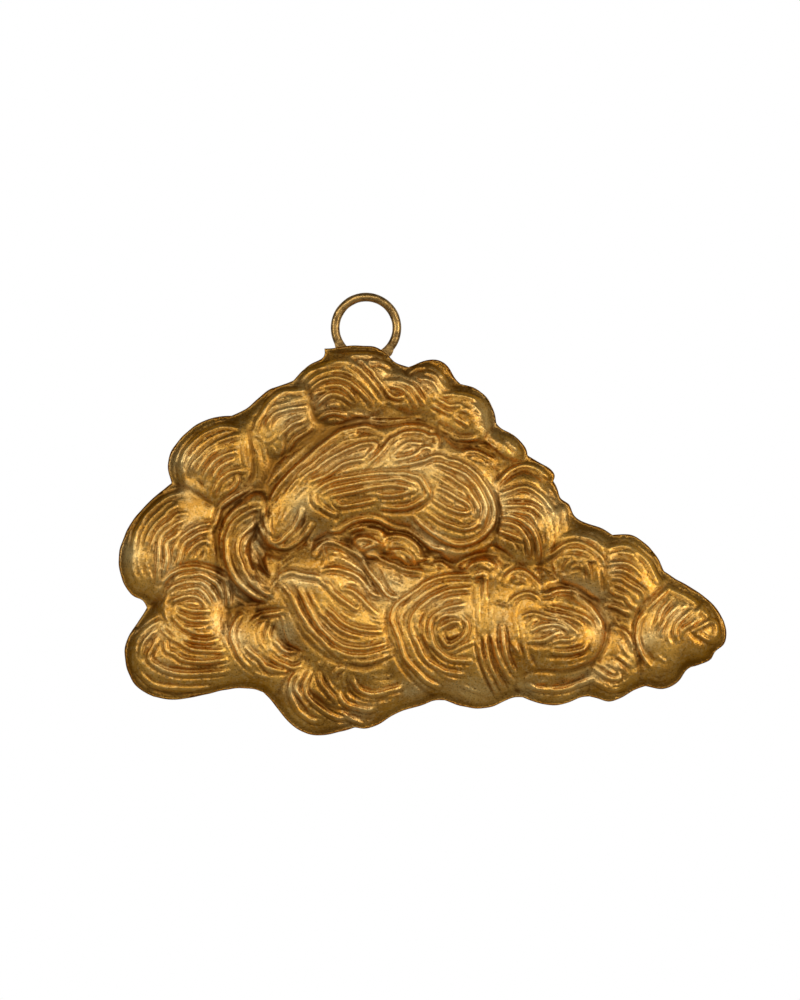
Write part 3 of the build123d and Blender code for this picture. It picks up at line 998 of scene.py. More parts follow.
def grid_triangles(rows: int, columns: int, offset: int = 0) -> np.ndarray:
    """Join a grid of points whose columns run round and close.

    Args:
        rows: rows of points.
        columns: points in a row.
        offset: the number of the grid's first point.

    Returns:
        Two triangles for each cell between two rows.
    """
    row, column = np.meshgrid(np.arange(rows - 1), np.arange(columns), indexing="ij")
    after = (column + 1) % columns
    a, b = row * columns + column, row * columns + after
    c, d = a + columns, b + columns
    faces = np.stack([np.stack([a, b, d], axis=-1), np.stack([a, d, c], axis=-1)], axis=2)
    return faces.reshape(-1, 3) + offset


class Finish:
    """Lays out the nodes of one finish."""

    def __init__(self, name: str) -> None:
        """Start an empty material of that name."""
        self.material = bpy.data.materials.new(name)
        self.material.use_nodes = True
        self.nodes = self.material.node_tree.nodes
        self.nodes.clear()
        self.shader = self.add("ShaderNodeBsdfPrincipled")
        self.join(self.shader.outputs["BSDF"], self.add("ShaderNodeOutputMaterial").inputs["Surface"])
        self.place = self.add("ShaderNodeTexCoord").outputs["Object"]

    def add(self, kind: str) -> bpy.types.Node:
        """Add a node of that kind."""
        return self.nodes.new(kind)

    def join(self, source: bpy.types.NodeSocket, target: bpy.types.NodeSocket) -> None:
        """Link one socket to another."""
        self.material.node_tree.links.new(source, target)

    def put(self, value: object, target: bpy.types.NodeSocket) -> None:
        """Link a socket, or set a plain value.

        Args:
            value: a socket of another node, a number or a colour.
            target: the socket that takes it.
        """
        if isinstance(value, bpy.types.NodeSocket):
            self.join(value, target)
        elif isinstance(value, tuple):
            target.default_value = (*value, 1.0)
        else:
            target.default_value = value

    def noise(self, size: float, detail: float = 3.0, roughness: float = 0.55) -> bpy.types.NodeSocket:
        """Make a cloudy pattern.

        Args:
            size: the size of its patches in millimetres.
            detail: how many finer layers it has.
            roughness: how strong they are.

        Returns:
            The pattern, about 0.3 to 0.7.
        """
        node = self.add("ShaderNodeTexNoise")
        self.join(self.place, node.inputs["Vector"])
        node.inputs["Scale"].default_value = 1.0 / (size * MILLIMETRE)
        node.inputs["Detail"].default_value = detail
        node.inputs["Roughness"].default_value = roughness
        return node.outputs["Fac"]

    def mark(self, name: str) -> bpy.types.NodeSocket:
        """Read a named value of the piece's points."""
        node = self.add("ShaderNodeAttribute")
        node.attribute_name = name
        return node.outputs["Fac"]

    def span(self, value: object, low: float, high: float, to_low: float, to_high: float) -> bpy.types.NodeSocket:
        """Stretch a range of a value to another range, clipped at its ends.

        Args:
            value: the value.
            low: where the range starts.
            high: where it ends.
            to_low: the result at its start.
            to_high: the result at its end.

        Returns:
            The stretched value.
        """
        node = self.add("ShaderNodeMapRange")
        for socket, number in zip(node.inputs, (value, low, high, to_low, to_high)):
            self.put(number, socket)
        return node.outputs["Result"]

    def sum(self, operation: str, first: object, second: object) -> bpy.types.NodeSocket:
        """Work out one step of arithmetic.

        Args:
            operation: the step, such as ADD or MULTIPLY.
            first: the first value.
            second: the second value.

        Returns:
            The result.
        """
        node = self.add("ShaderNodeMath")
        node.operation = operation
        self.put(first, node.inputs[0])
        self.put(second, node.inputs[1])
        return node.outputs[0]

    def blend(self, share: object, first: object, second: object) -> bpy.types.NodeSocket:
        """Blend two colours.

        Args:
            share: 0 for the first, 1 for the second.
            first: a colour.
            second: a colour.

        Returns:
            The blended colour.
        """
        node = self.add("ShaderNodeMix")
        node.data_type = "RGBA"
        self.put(share, node.inputs[0])
        self.put(first, node.inputs[6])
        self.put(second, node.inputs[7])
        return node.outputs[2]

    def bumps(self, layers: list[tuple[bpy.types.NodeSocket, float]]) -> None:
        """Roughen the surface with layers of height, each of a depth in millimetres.

        Args:
            layers: each pattern with its depth.
        """
        normal = None
        for pattern, depth in layers:
            node = self.add("ShaderNodeBump")
            node.inputs["Distance"].default_value = depth * MILLIMETRE
            self.join(pattern, node.inputs["Height"])
            if normal is not None:
                self.join(normal, node.inputs["Normal"])
            normal = node.outputs["Normal"]
        self.join(normal, self.shader.inputs["Normal"])

    def metal(self, colour: bpy.types.NodeSocket, rough: bpy.types.NodeSocket, layers: list) -> bpy.types.Material:
        """Finish the shader as bare metal.

        Args:
            colour: its colour.
            rough: its roughness.
            layers: its layers of height, as for bumps.

        Returns:
            The material.
        """
        self.join(colour, self.shader.inputs["Base Color"])
        self.join(rough, self.shader.inputs["Roughness"])
        self.shader.inputs["Metallic"].default_value = 1.0
        self.bumps(layers)
        return self.material


@dataclass(frozen=True)
class GiltSheet:
    """The gilt on the pushed sheet: warm gold, finely pitted, paler on crests and in patches with wear and painted
    highlight, browner in the grooves, hollows and patches with grime and painted shade.
    """

    gold: tuple[float, float, float] = (0.80, 0.425, 0.076)
    deep_gold: tuple[float, float, float] = (0.57, 0.250, 0.028)
    # The pale gold stands for wear and painted highlight, the brown for grime and painted shade.
    sheen_and_rub: tuple[float, float, float] = (0.95, 0.69, 0.28)
    brown: tuple[float, float, float] = (0.17, 0.064, 0.006)
    grain: float = 0.16
    pits: float = 0.35
    grazing: tuple[float, float, float, float] = (0.86, 0.56, 0.24, 1.0)

    def material(self) -> bpy.types.Material:
        """Lay out the gilt's nodes, from the marks on the piece."""
        finish = Finish("gilt_sheet")
        clouds = finish.noise(3.2, 4.0)
        speckle = finish.noise(self.grain, 2.0, 0.6)
        pits = finish.noise(self.pits, 3.0, 0.6)
        wear_and_highlight, groove, hollow = finish.mark("wear_and_highlight"), finish.mark("groove"), finish.mark("hollow")
        shade_and_tarnish, sheen_and_rub = finish.mark("shade_and_tarnish"), finish.mark("sheen_and_rub")
        colour = finish.blend(finish.span(clouds, 0.38, 0.62, 0.0, 1.0), self.deep_gold, self.gold)
        # Paler on the crests of the raised lines and in the bright patches, which is painted highlight with some wear,
        # and in the pits, which are grain.
        rub_and_highlight = finish.sum("ADD", finish.span(wear_and_highlight, 0.45, 0.95, 0.0, 0.10), finish.span(pits, 0.48, 0.68, 0.0, 0.42))
        rub_and_highlight = finish.sum("ADD", rub_and_highlight, finish.span(sheen_and_rub, 0.0, 1.0, 0.0, 0.85))
        colour = finish.blend(finish.span(rub_and_highlight, 0.0, 1.0, 0.0, 0.90), colour, self.sheen_and_rub)
        # Browner beside and in the chased lines, in the hollows between the forms and in the dark patches, which is
        # painted shade with some grime, and in the speckle, which is grain.
        dirt_and_shade = finish.sum("ADD", finish.span(groove, 0.25, 0.95, 0.0, 0.55), finish.span(hollow, 0.1, 0.8, 0.0, 0.55))
        dirt_and_shade = finish.sum("ADD", dirt_and_shade, finish.span(speckle, 0.54, 0.68, 0.0, 0.70))
        dirt_and_shade = finish.sum("ADD", dirt_and_shade, finish.span(shade_and_tarnish, 0.0, 1.0, 0.0, 0.75))
        colour = finish.blend(finish.span(dirt_and_shade, 0.0, 1.0, 0.0, 0.88), colour, self.brown)
        finish.shader.inputs["Specular Tint"].default_value = self.grazing
        rough = finish.sum("ADD", finish.span(clouds, 0.35, 0.65, 0.33, 0.42), finish.span(groove, 0.2, 0.9, 0.0, 0.16))
        rough = finish.sum("ADD", rough, finish.span(wear_and_highlight, 0.4, 1.0, 0.0, 0.05))
        return finish.metal(colour, rough, [(pits, 0.034), (speckle, 0.032)])


@dataclass(frozen=True)
class RingWire:
    """The ring's wire: brass gone greenish brown, bright in streaks of wear, with small nicks."""

    brass: tuple[float, float, float] = (0.50, 0.29, 0.085)
    tarnish: tuple[float, float, float] = (0.17, 0.09, 0.025)
    sheen_and_rub: tuple[float, float, float] = (0.90, 0.64, 0.28)

    def material(self) -> bpy.types.Material:
        """Lay out the wire's nodes."""
        finish = Finish("ring_wire")
        clouds = finish.noise(0.9, 4.0)
        speckle = finish.noise(0.14, 3.0, 0.6)
        colour = finish.blend(finish.span(clouds, 0.40, 0.60, 0.0, 1.0), self.tarnish, self.brass)
        colour = finish.blend(finish.span(speckle, 0.55, 0.72, 0.0, 0.7), colour, self.sheen_and_rub)
        rough = finish.span(clouds, 0.35, 0.65, 0.40, 0.26)
        return finish.metal(colour, rough, [(finish.noise(0.45, 3.0), 0.030), (speckle, 0.012)])


@dataclass(frozen=True)
class SolderFinish:
    """The solder: greyish yellow metal, grainy where it cooled, brown in its dips."""

    metal: tuple[float, float, float] = (0.42, 0.25, 0.08)
    scorched: tuple[float, float, float] = (0.13, 0.07, 0.022)

    def material(self) -> bpy.types.Material:
        """Lay out the solder's nodes."""
        finish = Finish("solder")
        clouds = finish.noise(0.5, 4.0)
        speckle = finish.noise(0.1, 2.0, 0.6)
        colour = finish.blend(finish.span(clouds, 0.38, 0.60, 0.0, 1.0), self.scorched, self.metal)
        rough = finish.span(speckle, 0.35, 0.65, 0.34, 0.55)
        return finish.metal(colour, rough, [(clouds, 0.06), (speckle, 0.02)])


@dataclass
class Plaque:
    """The pushed and chased sheet with its trimmed edge and hollow back. Lengths in millimetres, reaches in pixels."""

    hanging_point: tuple[float, float] = (365.9, 344.8)
    top: float = PLAQUE_TOP
    rim_back: float = -0.53
    wall: float = 0.4
    crown_height: float = 1.5
    crown_reach: float = 1.0
    dome_height: float = 2.2
    flange: float = 1.5
    steepness: float = 2.3
    sharpness: float = 7.0
    edge_step: float = 1.5
    edge_round: float = 0.55
    front_step: float = 2.1
    back_step: float = 3.4
    line_reach: float = 6.0
    profile_power: float = 2.4
    gully_offset: float = 1.35
    gully_width: float = 1.1
    full_gully: float = 0.13
    back_spread: float = 1.7
    cells_to_pixel: float = 2.0
    square: float = 1.2
    hollow_step: float = 3.0
    full_hollow: float = 0.16
    outline: np.ndarray = field(init=False)

    def __post_init__(self) -> None:
        """Lay out the trimmed edge."""
        lobes = [smooth_run(read_places(lobe), self.edge_step)[:-1] for lobe in EDGE_LOBES]
        loop = np.concatenate(lobes)
        self.outline = np.concatenate([loop, loop[:1]])

    def trimmed(self, inset: float) -> np.ndarray:
        """Move the edge inwards along its own normals, with the small waver of hand shears.

        Args:
            inset: how far, in pixels.

        Returns:
            The moved loop, open: its first point isn't repeated.
        """
        loop = self.outline[:-1]
        run = np.roll(loop, -1, axis=0) - np.roll(loop, 1, axis=0)
        inward = np.stack([-run[:, 1], run[:, 0]], axis=1) / np.hypot(*run.T)[:, None]
        along = np.arange(len(loop)) * self.edge_step
        waver = 0.28 + 0.16 * np.sin(along / 2.9) * np.sin(along / 41.0) + 0.12 * np.sin(along / 6.1 + 1.3)
        return loop + inward * (inset + waver)[:, None]

    def inset_of(self, places: np.ndarray) -> np.ndarray:
        """Measure how far inside the edge places lie, in pixels; outside it is less than nothing."""
        away, _ = distance_to_run(places, self.outline[::2])
        return np.where(lies_inside(places, self.outline[::2]), away, -away)

    def relief(self, places: np.ndarray, inset: np.ndarray) -> np.ndarray:
        """Work out how far the sheet is pushed out, before the lines are chased.

        A low crown, height * d**2 / (d**2 + reach**2) for the inset d, carries domes and rolls. Each has its share of
        (1 - away ** steepness), where away is 1 at its foot, and they blend as the root of the summed powers.

        Args:
            places: the places, in pixels.
            inset: how far inside the edge each lies, in pixels.

        Returns:
            The push of each place in millimetres.
        """
        total = np.zeros(len(places))
        for *oval, share in DOMES:
            away = np.hypot(*along_and_beside(places, oval))
            total += (share * np.clip(1.0 - away**self.steepness, 0.0, None)) ** self.sharpness
        for half_width, share, path in ROLLS:
            away = distance_to_run(places, smooth_run(read_places(path), 6.0))[0] / half_width
            total += (share * np.clip(1.0 - away**self.steepness, 0.0, None)) ** self.sharpness
        depth = np.clip(inset * PIXEL, 0.0, None)
        crown = self.crown_height * depth**2 / (depth**2 + self.crown_reach**2)
        return crown + smooth_step(depth / self.flange) * self.dome_height * total ** (1.0 / self.sharpness)

    def chased(self, places: np.ndarray, inset: np.ndarray, spread: float = 1.0) -> dict[str, np.ndarray]:
        """Work out the lines at places: a line's height falls as exp(-(distance / half width) ** profile_power).

        A raised line has a groove on each side of it, and every line thins out at its ends and wavers in
        strength along its way, as one punched by hand does.

        Args:
            places: the places, in pixels.
            inset: how far inside the edge each lies, in pixels.
            spread: how much wider than chased the lines are, for the back.

        Returns:
            The lift in millimetres, and from 0 to 1 how much of a crest and of a groove each place is.
        """
        raised, crest, beside, sunk, cut = (np.zeros(len(places)) for _ in range(5))
        for chasing in CHASINGS:
            for stroke, line in chasing.strokes():
                height, half, gully = stroke.value
                run = smooth_run(line, 2.0)
                reach = (half + self.line_reach) * spread
                low, high = run.min(axis=0) - reach, run.max(axis=0) + reach
                near = np.flatnonzero(((places > low) & (places < high)).all(axis=1))
                if len(near) == 0:
                    continue
                away, along = distance_to_run(places[near], run)
                length = np.hypot(*np.diff(run, axis=0).T).sum()
                ends = 0.35 + 0.65 * smooth_step(np.minimum(along, length - along) / 7.0)
                seed = line[0].sum()
                force = ends * (1.0 + 0.16 * np.sin(along / 5.3 + seed) + 0.10 * np.sin(along / 2.2 + 2.0 * seed))
                profile = force * np.exp(-((away / (half * spread)) ** self.profile_power))
                if height > 0.0:
                    raised[near] = np.maximum(raised[near], height * profile)
                    crest[near] = np.maximum(crest[near], profile)
                    past = away / spread - half - self.gully_offset
                    side = force * np.exp(-((past / self.gully_width) ** 2))
                    beside[near] = np.maximum(beside[near], gully * side)
                else:
                    sunk[near] = np.maximum(sunk[near], -height * profile)
                    cut[near] = np.maximum(cut[near], profile)
        fade = smooth_step((inset - 1.5) / 5.0)
        keep = 1.0 - np.clip(crest, 0.0, 1.0)
        down = beside * keep + sunk * (0.15 + 0.85 * keep)
        groove = np.clip(beside / self.full_gully * keep + cut * (0.15 + 0.85 * keep), 0.0, 1.0)
        return {"lift": fade * (raised - down), "wear_and_highlight": fade * np.clip(crest, 0.0, 1.0), "groove": fade * groove}

    def patches(self, table: tuple[tuple[float, ...], ...], places: np.ndarray) -> np.ndarray:
        """Work out how far places lie within a table's patches: strength * exp(-away**2), of which the most counts.

        Args:
            table: the patches.
            places: the places, in pixels.

        Returns:
            The strength at each place, from 0 to 1.
        """
        most = np.zeros(len(places))
        for *oval, strength in table:
            along, beside = along_and_beside(places, oval)
            most = np.maximum(most, strength * np.exp(-(along**2) - beside**2))
        return most

    def unevenness(self, places: np.ndarray) -> np.ndarray:
        """Work out the gentle dents of the hammer: a few crossing waves of 6 to 40 pixels, in millimetres."""
        across, down = places.T
        long = np.sin(across / 5.3 + 1.1 * np.sin(down / 7.9)) * np.sin(down / 6.1 + 1.7 * np.sin(across / 11.3))
        short = np.sin(across / 1.9 + 2.1 * np.sin(down / 3.1)) * np.sin(down / 1.7 + 1.9 * np.sin(across / 2.7))
        return 0.018 * long + 0.006 * short

    def hollow(self, places: np.ndarray) -> np.ndarray:
        """Tell how deep between the forms places lie: the mean push round a place less its own, from 0 to 1."""
        step = self.hollow_step
        low = self.outline.min(axis=0) - 4.0 * step
        across = np.arange(low[0], self.outline[:, 0].max() + 4.0 * step, step)
        down = np.arange(low[1], self.outline[:, 1].max() + 4.0 * step, step)
        grid = np.stack(np.meshgrid(across, down), axis=-1).reshape(-1, 2)
        push = self.relief(grid, self.inset_of(grid)).reshape(len(down), len(across))
        mean = push.copy()
        for _ in range(10):
            sides = np.roll(mean, 1, 0), np.roll(mean, -1, 0), np.roll(mean, 1, 1), np.roll(mean, -1, 1)
            mean = sum(sides, mean) / 5.0
        depth = np.clip((mean - push) / self.full_hollow, 0.0, 1.0)
        cell = (places - low) / step
        corner = np.clip(cell.astype(int), 0, [len(across) - 2, len(down) - 2])
        share = np.clip(cell - corner, 0.0, 1.0)
        column, row = corner.T
        upper = depth[row, column] * (1.0 - share[:, 0]) + depth[row, column + 1] * share[:, 0]
        lower = depth[row + 1, column] * (1.0 - share[:, 0]) + depth[row + 1, column + 1] * share[:, 0]
        return upper * (1.0 - share[:, 1]) + lower * share[:, 1]

    def honeycomb(self, step: float) -> np.ndarray:
        """Cover the plaque's field with places in offset rows, a step apart."""
        low, high = self.outline.min(axis=0), self.outline.max(axis=0)
        columns = np.arange(low[0], high[0], step)
        rows = np.arange(low[1], high[1], step * 0.866)
        across, down = np.meshgrid(columns, rows)
        across = across + np.where(np.arange(len(rows)) % 2, step / 2.0, 0.0)[:, None]
        return np.stack([across, down], axis=-1).reshape(-1, 2)

    def rows_beside(self) -> list[np.ndarray]:
        """Set places in rows along every line: on it, on its shoulders and in the grooves beside it.

        Returns:
            One set of places for each row's rank, from the line itself outwards.
        """
        ranks: list[list[np.ndarray]] = [[], [], [], [], []]
        for chasing in CHASINGS:
            for stroke, line in chasing.strokes():
                run = smooth_run(line, 1.9)
                heading = np.gradient(run, axis=0)
                across = np.stack([-heading[:, 1], heading[:, 0]], axis=1) / np.hypot(*heading.T)[:, None]
                half = stroke.value[1]
                offsets = (0.0, half - 0.35, half + 1.3, half + 2.7, half + 4.3)
                for rank, offset in zip(ranks, offsets[: 4 if stroke is Stroke.FINE else 5]):
                    rank += [run + across * offset, run - across * offset] if offset else [run]
        return [np.concatenate(rank) for rank in ranks]

    def thinned(self, ranks: list[np.ndarray], clearances: list[float]) -> np.ndarray:
        """Keep places that stand clear of the more important ones.

        The field is cut into half pixel cells. A rank's places fall out where an earlier rank has taken a cell
        within the clearance, and of those in one small square only the first stays.

        Args:
            ranks: the sets of places, the most important first.
            clearances: for each rank, how clear its places stand of the earlier ones, in pixels.

        Returns:
            The kept places.
        """
        low = self.outline.min(axis=0) - 8.0
        shape = ((self.outline.max(axis=0) + 8.0 - low) * self.cells_to_pixel).astype(int)
        taken = np.zeros(shape, dtype=bool)
        kept = []
        for places, clearance in zip(ranks, clearances):
            reach = int(round(clearance * self.cells_to_pixel))
            close = np.zeros(shape, dtype=bool)
            for across in range(-reach, reach + 1):
                for down in range(-reach, reach + 1):
                    if across * across + down * down <= (clearance * self.cells_to_pixel) ** 2:
                        close |= np.roll(taken, (across, down), axis=(0, 1))
            cells = ((places - low) * self.cells_to_pixel).astype(int)
            cells = np.clip(cells, 0, shape - 1)
            places = places[~close[cells[:, 0], cells[:, 1]]]
            half = self.square / 2.0
            for shift in ((0.0, 0.0), (half, 0.0), (0.0, half), (half, half)):
                squares = ((places - low + shift) / self.square).astype(int)
                _, first = np.unique(squares[:, 0] * 4096 + squares[:, 1], return_index=True)
                places = places[np.sort(first)]
            kept.append(places)
            cells = ((places - low) * self.cells_to_pixel).astype(int)
            taken[cells[:, 0], cells[:, 1]] = True
        return np.concatenate(kept)

    def skin(self, loop: np.ndarray, inner: np.ndarray) -> tuple[np.ndarray, np.ndarray]:
        """Join a loop and the places inside it with triangles, each as near to even as they allow.

        Args:
            loop: the edge of the skin.
            inner: the places inside.

        Returns:
            The places, those of the loop first, and the triangles, which face the front.
        """
        places = np.concatenate([loop, inner])
        flat = list(map(Vector, (places * (1.0, -1.0)).tolist()))
        joined = delaunay_2d_cdt(flat, [], [list(range(len(loop)))], 1, 1e-6)
        if len(joined[0]) != len(places):
            raise ValueError("the trimmed edge crosses itself")
        triangles = np.array(joined[2])
        a, b, c = places[triangles].transpose(1, 0, 2)
        turned = (b[:, 0] - a[:, 0]) * (c[:, 1] - a[:, 1]) - (b[:, 1] - a[:, 1]) * (c[:, 0] - a[:, 0]) > 0.0
        triangles[turned] = triangles[turned][:, ::-1]
        return places, triangles

    def in_metres(self, places: np.ndarray, push: np.ndarray) -> np.ndarray:
        """Turn places and their push towards the viewer into the model's metres."""
        across = (places[:, 0] - self.hanging_point[0]) * PIXEL
        up = self.top + (self.hanging_point[1] - places[:, 1]) * PIXEL
        return np.stack([across, self.rim_back - push, up], axis=1) * MILLIMETRE

    def build(self) -> bpy.types.Object:
        """Build the plaque: its front skin, its back skin and the rounded trim that joins them.

        Returns:
            The finished piece.
        """
        ranks = self.rows_beside() + [self.honeycomb(self.front_step)]
        inner = self.thinned(ranks, [0.0, 1.0, 1.1, 1.2, 1.4, 1.5])
        inner = inner[self.inset_of(inner) > 1.7]
        front, front_faces = self.skin(self.trimmed(self.edge_round), inner)
        inset = self.inset_of(front)
        lines = self.chased(front, inset)
        fade = smooth_step((inset - 1.0) / 6.0)
        front_push = self.wall + self.relief(front, inset) + lines["lift"] + fade * self.unevenness(front)

        inner = self.honeycomb(self.back_step)
        inner = inner[self.inset_of(inner) > 2.2]
        back, back_faces = self.skin(self.trimmed(self.edge_round), inner)
        inset = self.inset_of(back)
        back_lines = self.chased(back, inset, self.back_spread)
        back_push = self.relief(back, inset) + 0.55 * back_lines["lift"] + 0.5 * self.unevenness(back)
        back_push = np.maximum(back_push, 0.0)

        count = len(self.outline) - 1
        rim = self.trimmed(0.0)
        shoulder = self.edge_round * PIXEL * 0.8
        near, far = front_push[:count] - shoulder, back_push[:count] + shoulder
        points = np.concatenate([
            self.in_metres(front, front_push),
            self.in_metres(rim, near),
            self.in_metres(rim, far),
            self.in_metres(back, back_push),
        ])
        first_rim, first_back = len(front), len(front) + 2 * count
        edge = np.arange(count)
        after = (edge + 1) % count
        strips = [
            np.concatenate([
                np.stack([a + edge, b + edge, b + after], 1),
                np.stack([a + edge, b + after, a + after], 1),
            ])
            for a, b in ((0, first_rim), (first_rim, first_rim + count), (first_rim + count, first_back))
        ]
        triangles = np.concatenate([front_faces, back_faces[:, ::-1] + first_back, *strips])
        plain = np.zeros(2 * count)
        # The photograph doesn't show the back. It takes the front's patches the other way round, for variety.
        # On the front the crests and bright patches carry painted highlight with some wear, and the grooves, hollows
        # and dark patches carry painted shade with some grime.
        marks = {
            "wear_and_highlight": np.concatenate([lines["wear_and_highlight"], plain + 0.5, 0.2 * back_lines["wear_and_highlight"]]),
            "groove": np.concatenate([lines["groove"], plain, 0.5 * back_lines["groove"]]),
            "hollow": np.concatenate([self.hollow(front), plain, np.full(len(back), 0.40)]),
            "shade_and_tarnish": np.concatenate([self.patches(SHADE_AND_TARNISH_PATCHES, front), plain, 0.5 * self.patches(HIGHLIGHT_AND_WEAR_PATCHES, back)]),
            "sheen_and_rub": np.concatenate([self.patches(HIGHLIGHT_AND_WEAR_PATCHES, front), plain, 0.3 * self.patches(SHADE_AND_TARNISH_PATCHES, back)]),
        }
        log.info("plaque: %d triangles, %.2f mm deep", len(triangles), front_push.max())
        return make_piece("embossed_plaque", points, triangles, marks)

    def dress(self, piece: bpy.types.Object, finish: GiltSheet) -> None:
        """Give the plaque its gilt and let it stand for its solid."""
        piece.data.materials.append(finish.material())
        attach(piece, "root")
        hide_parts("plaque")


@dataclass
class HangingRing:
    """The round wire ring behind the top edge, not quite even as bent wire isn't. Lengths in millimetres."""

    outer_diameter: float = 7.0
    wire_diameter: float = 0.9
    around: int = 200
    across: int = 28

    def build(self) -> bpy.types.Object:
        """Build the ring: a circle of the wire's radius r, carried round the circle of the wire's middle R.

        A point is (R + r cos v) away from the middle and r sin v to the back, where r thins by a few
        hundredths in slow waves of both angles.

        Returns:
            The finished piece.
        """
        turn = np.linspace(0.0, 2.0 * np.pi, self.around, endpoint=False)[:, None]
        wire = np.linspace(0.0, 2.0 * np.pi, self.across, endpoint=False)[None]
        dents = 0.5 + 0.5 * np.sin(7.0 * turn + 2.0 * np.sin(3.0 * turn) + wire) * np.sin(3.0 * wire + 2.0 * turn)
        radius = self.wire_diameter / 2.0 * (1.0 - 0.045 * dents)
        away = (self.outer_diameter - self.wire_diameter) / 2.0 + radius * np.cos(wire)
        points = np.stack([away * np.cos(turn), radius * np.sin(wire), away * np.sin(turn)], axis=-1)
        points = np.concatenate([points, points[:1]]).reshape(-1, 3)
        triangles = grid_triangles(self.around + 1, self.across)
        last = self.around * self.across
        triangles = np.where(triangles >= last, triangles - last, triangles)
        return make_piece("wire_ring", points[:last] * MILLIMETRE, triangles[:, ::-1], {})

    def dress(self, piece: bpy.types.Object, finish: RingWire) -> None:
        """Give the ring its finish and let it stand for its solid."""
        piece.data.materials.append(finish.material())
        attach(piece, "root")
        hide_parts("hanging_ring")


class Side(Enum):
    """The side of the ring that a foot stands on."""

    LEFT = -1
    RIGHT = 1


@dataclass
class SolderDrop:
    """A drop of solder round the wire where it meets the back of the rim. Lengths in millimetres."""

    side: Side
    foot_drop: float
    length: float
    width: float
    ring_radius: float = 3.05
    plaque_top: float = PLAQUE_TOP
    seat: float = -0.52
    clear_radius: float = 2.62

    def build(self) -> bpy.types.Object:
        """Build the drop: an ellipsoid along the wire, lumpy by slow waves of its two angles.

        It is flat where it meets the sheet, and a point that would stand in the ring's opening moves out to it.

        Returns:
            The finished piece.
        """
        rows, columns = 26, 40
        tilt = np.linspace(0.0, np.pi, rows)[:, None]
        turn = np.linspace(0.0, 2.0 * np.pi, columns, endpoint=False)[None]
        phase = 1.7 * self.side.value
        lumps = 0.93 + 0.05 * np.sin(3.0 * turn + phase) * np.sin(2.0 * tilt) + 0.03 * np.sin(5.0 * tilt + 2.0 * turn)
        lengthwise = self.length / 2.0 * lumps * np.cos(tilt)
        sideways = self.width / 2.0 * lumps * np.sin(tilt) * np.cos(turn)
        outwards = self.width / 2.0 * lumps * np.sin(tilt) * np.sin(turn)
        below = np.arcsin((self.foot_drop - self.plaque_top) / self.ring_radius)
        sine, cosine = np.sin(below), np.cos(below)
        across = self.side.value * (self.ring_radius * cosine + sine * lengthwise + cosine * sideways)
        up = -self.ring_radius * sine + cosine * lengthwise - sine * sideways
        back = self.seat + np.maximum(outwards, 0.0)
        away = np.hypot(across, up)
        clear = np.maximum(away, self.clear_radius) / away
        points = np.stack([across * clear, back, up * clear], axis=-1)
        ends = points[[0, -1]].mean(axis=1)
        points = np.concatenate([points[1:-1].reshape(-1, 3), ends])
        body = grid_triangles(rows - 2, columns)
        edge = np.arange(columns)
        after = (edge + 1) % columns
        first, last = len(points) - 2, len(points) - 1
        base = (rows - 3) * columns
        caps = [
            np.stack([np.full(columns, first), after, edge], 1),
            np.stack([np.full(columns, last), base + edge, base + after], 1),
        ]
        triangles = np.concatenate([body, *caps])
        a, b, c = points[triangles].transpose(1, 0, 2)
        if (np.cross(b - a, c - a) * (a - points.mean(axis=0))).sum() < 0.0:
            triangles = triangles[:, ::-1]
        return make_piece(f"solder_drop_{self.side.name.lower()}", points * MILLIMETRE, triangles, {})

    def dress(self, piece: bpy.types.Object, finish: SolderFinish) -> None:
        """Give the drop its finish and let it stand for its solid."""
        piece.data.materials.append(finish.material())
        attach(piece, "root")
        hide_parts(f"solder_{self.side.name.lower()}")


@dataclass(frozen=True)
class Card:
    """A flat card of the studio: its middle, the halves of its two sides in metres, and its level of light."""

    name: str
    middle: tuple[float, float, float]
    half_across: tuple[float, float, float]
    half_up: tuple[float, float, float]
    level: float

    def build(self) -> bpy.types.Object:
        """Build the card, unseen by the camera but seen by the metal.

        Returns:
            The card.
        """
        middle, across, up = (np.array(vector) for vector in (self.middle, self.half_across, self.half_up))
        corners = [middle - across - up, middle + across - up, middle + across + up, middle - across + up]
        piece = make_piece(self.name, np.array(corners), np.array([[0, 1, 2], [0, 2, 3]]), {})
        material = bpy.data.materials.new(self.name)
        material.use_nodes = True
        nodes = material.node_tree.nodes
        nodes.clear()
        glow = nodes.new("ShaderNodeEmission")
        glow.inputs["Color"].default_value = (self.level, self.level, self.level, 1.0)
        glow.inputs["Strength"].default_value = 1.0
        output = nodes.new("ShaderNodeOutputMaterial")
        material.node_tree.links.new(glow.outputs["Emission"], output.inputs["Surface"])
        piece.data.materials.append(material)
        piece.visible_camera = False
        piece.visible_shadow = False
        piece.visible_diffuse = False
        return piece


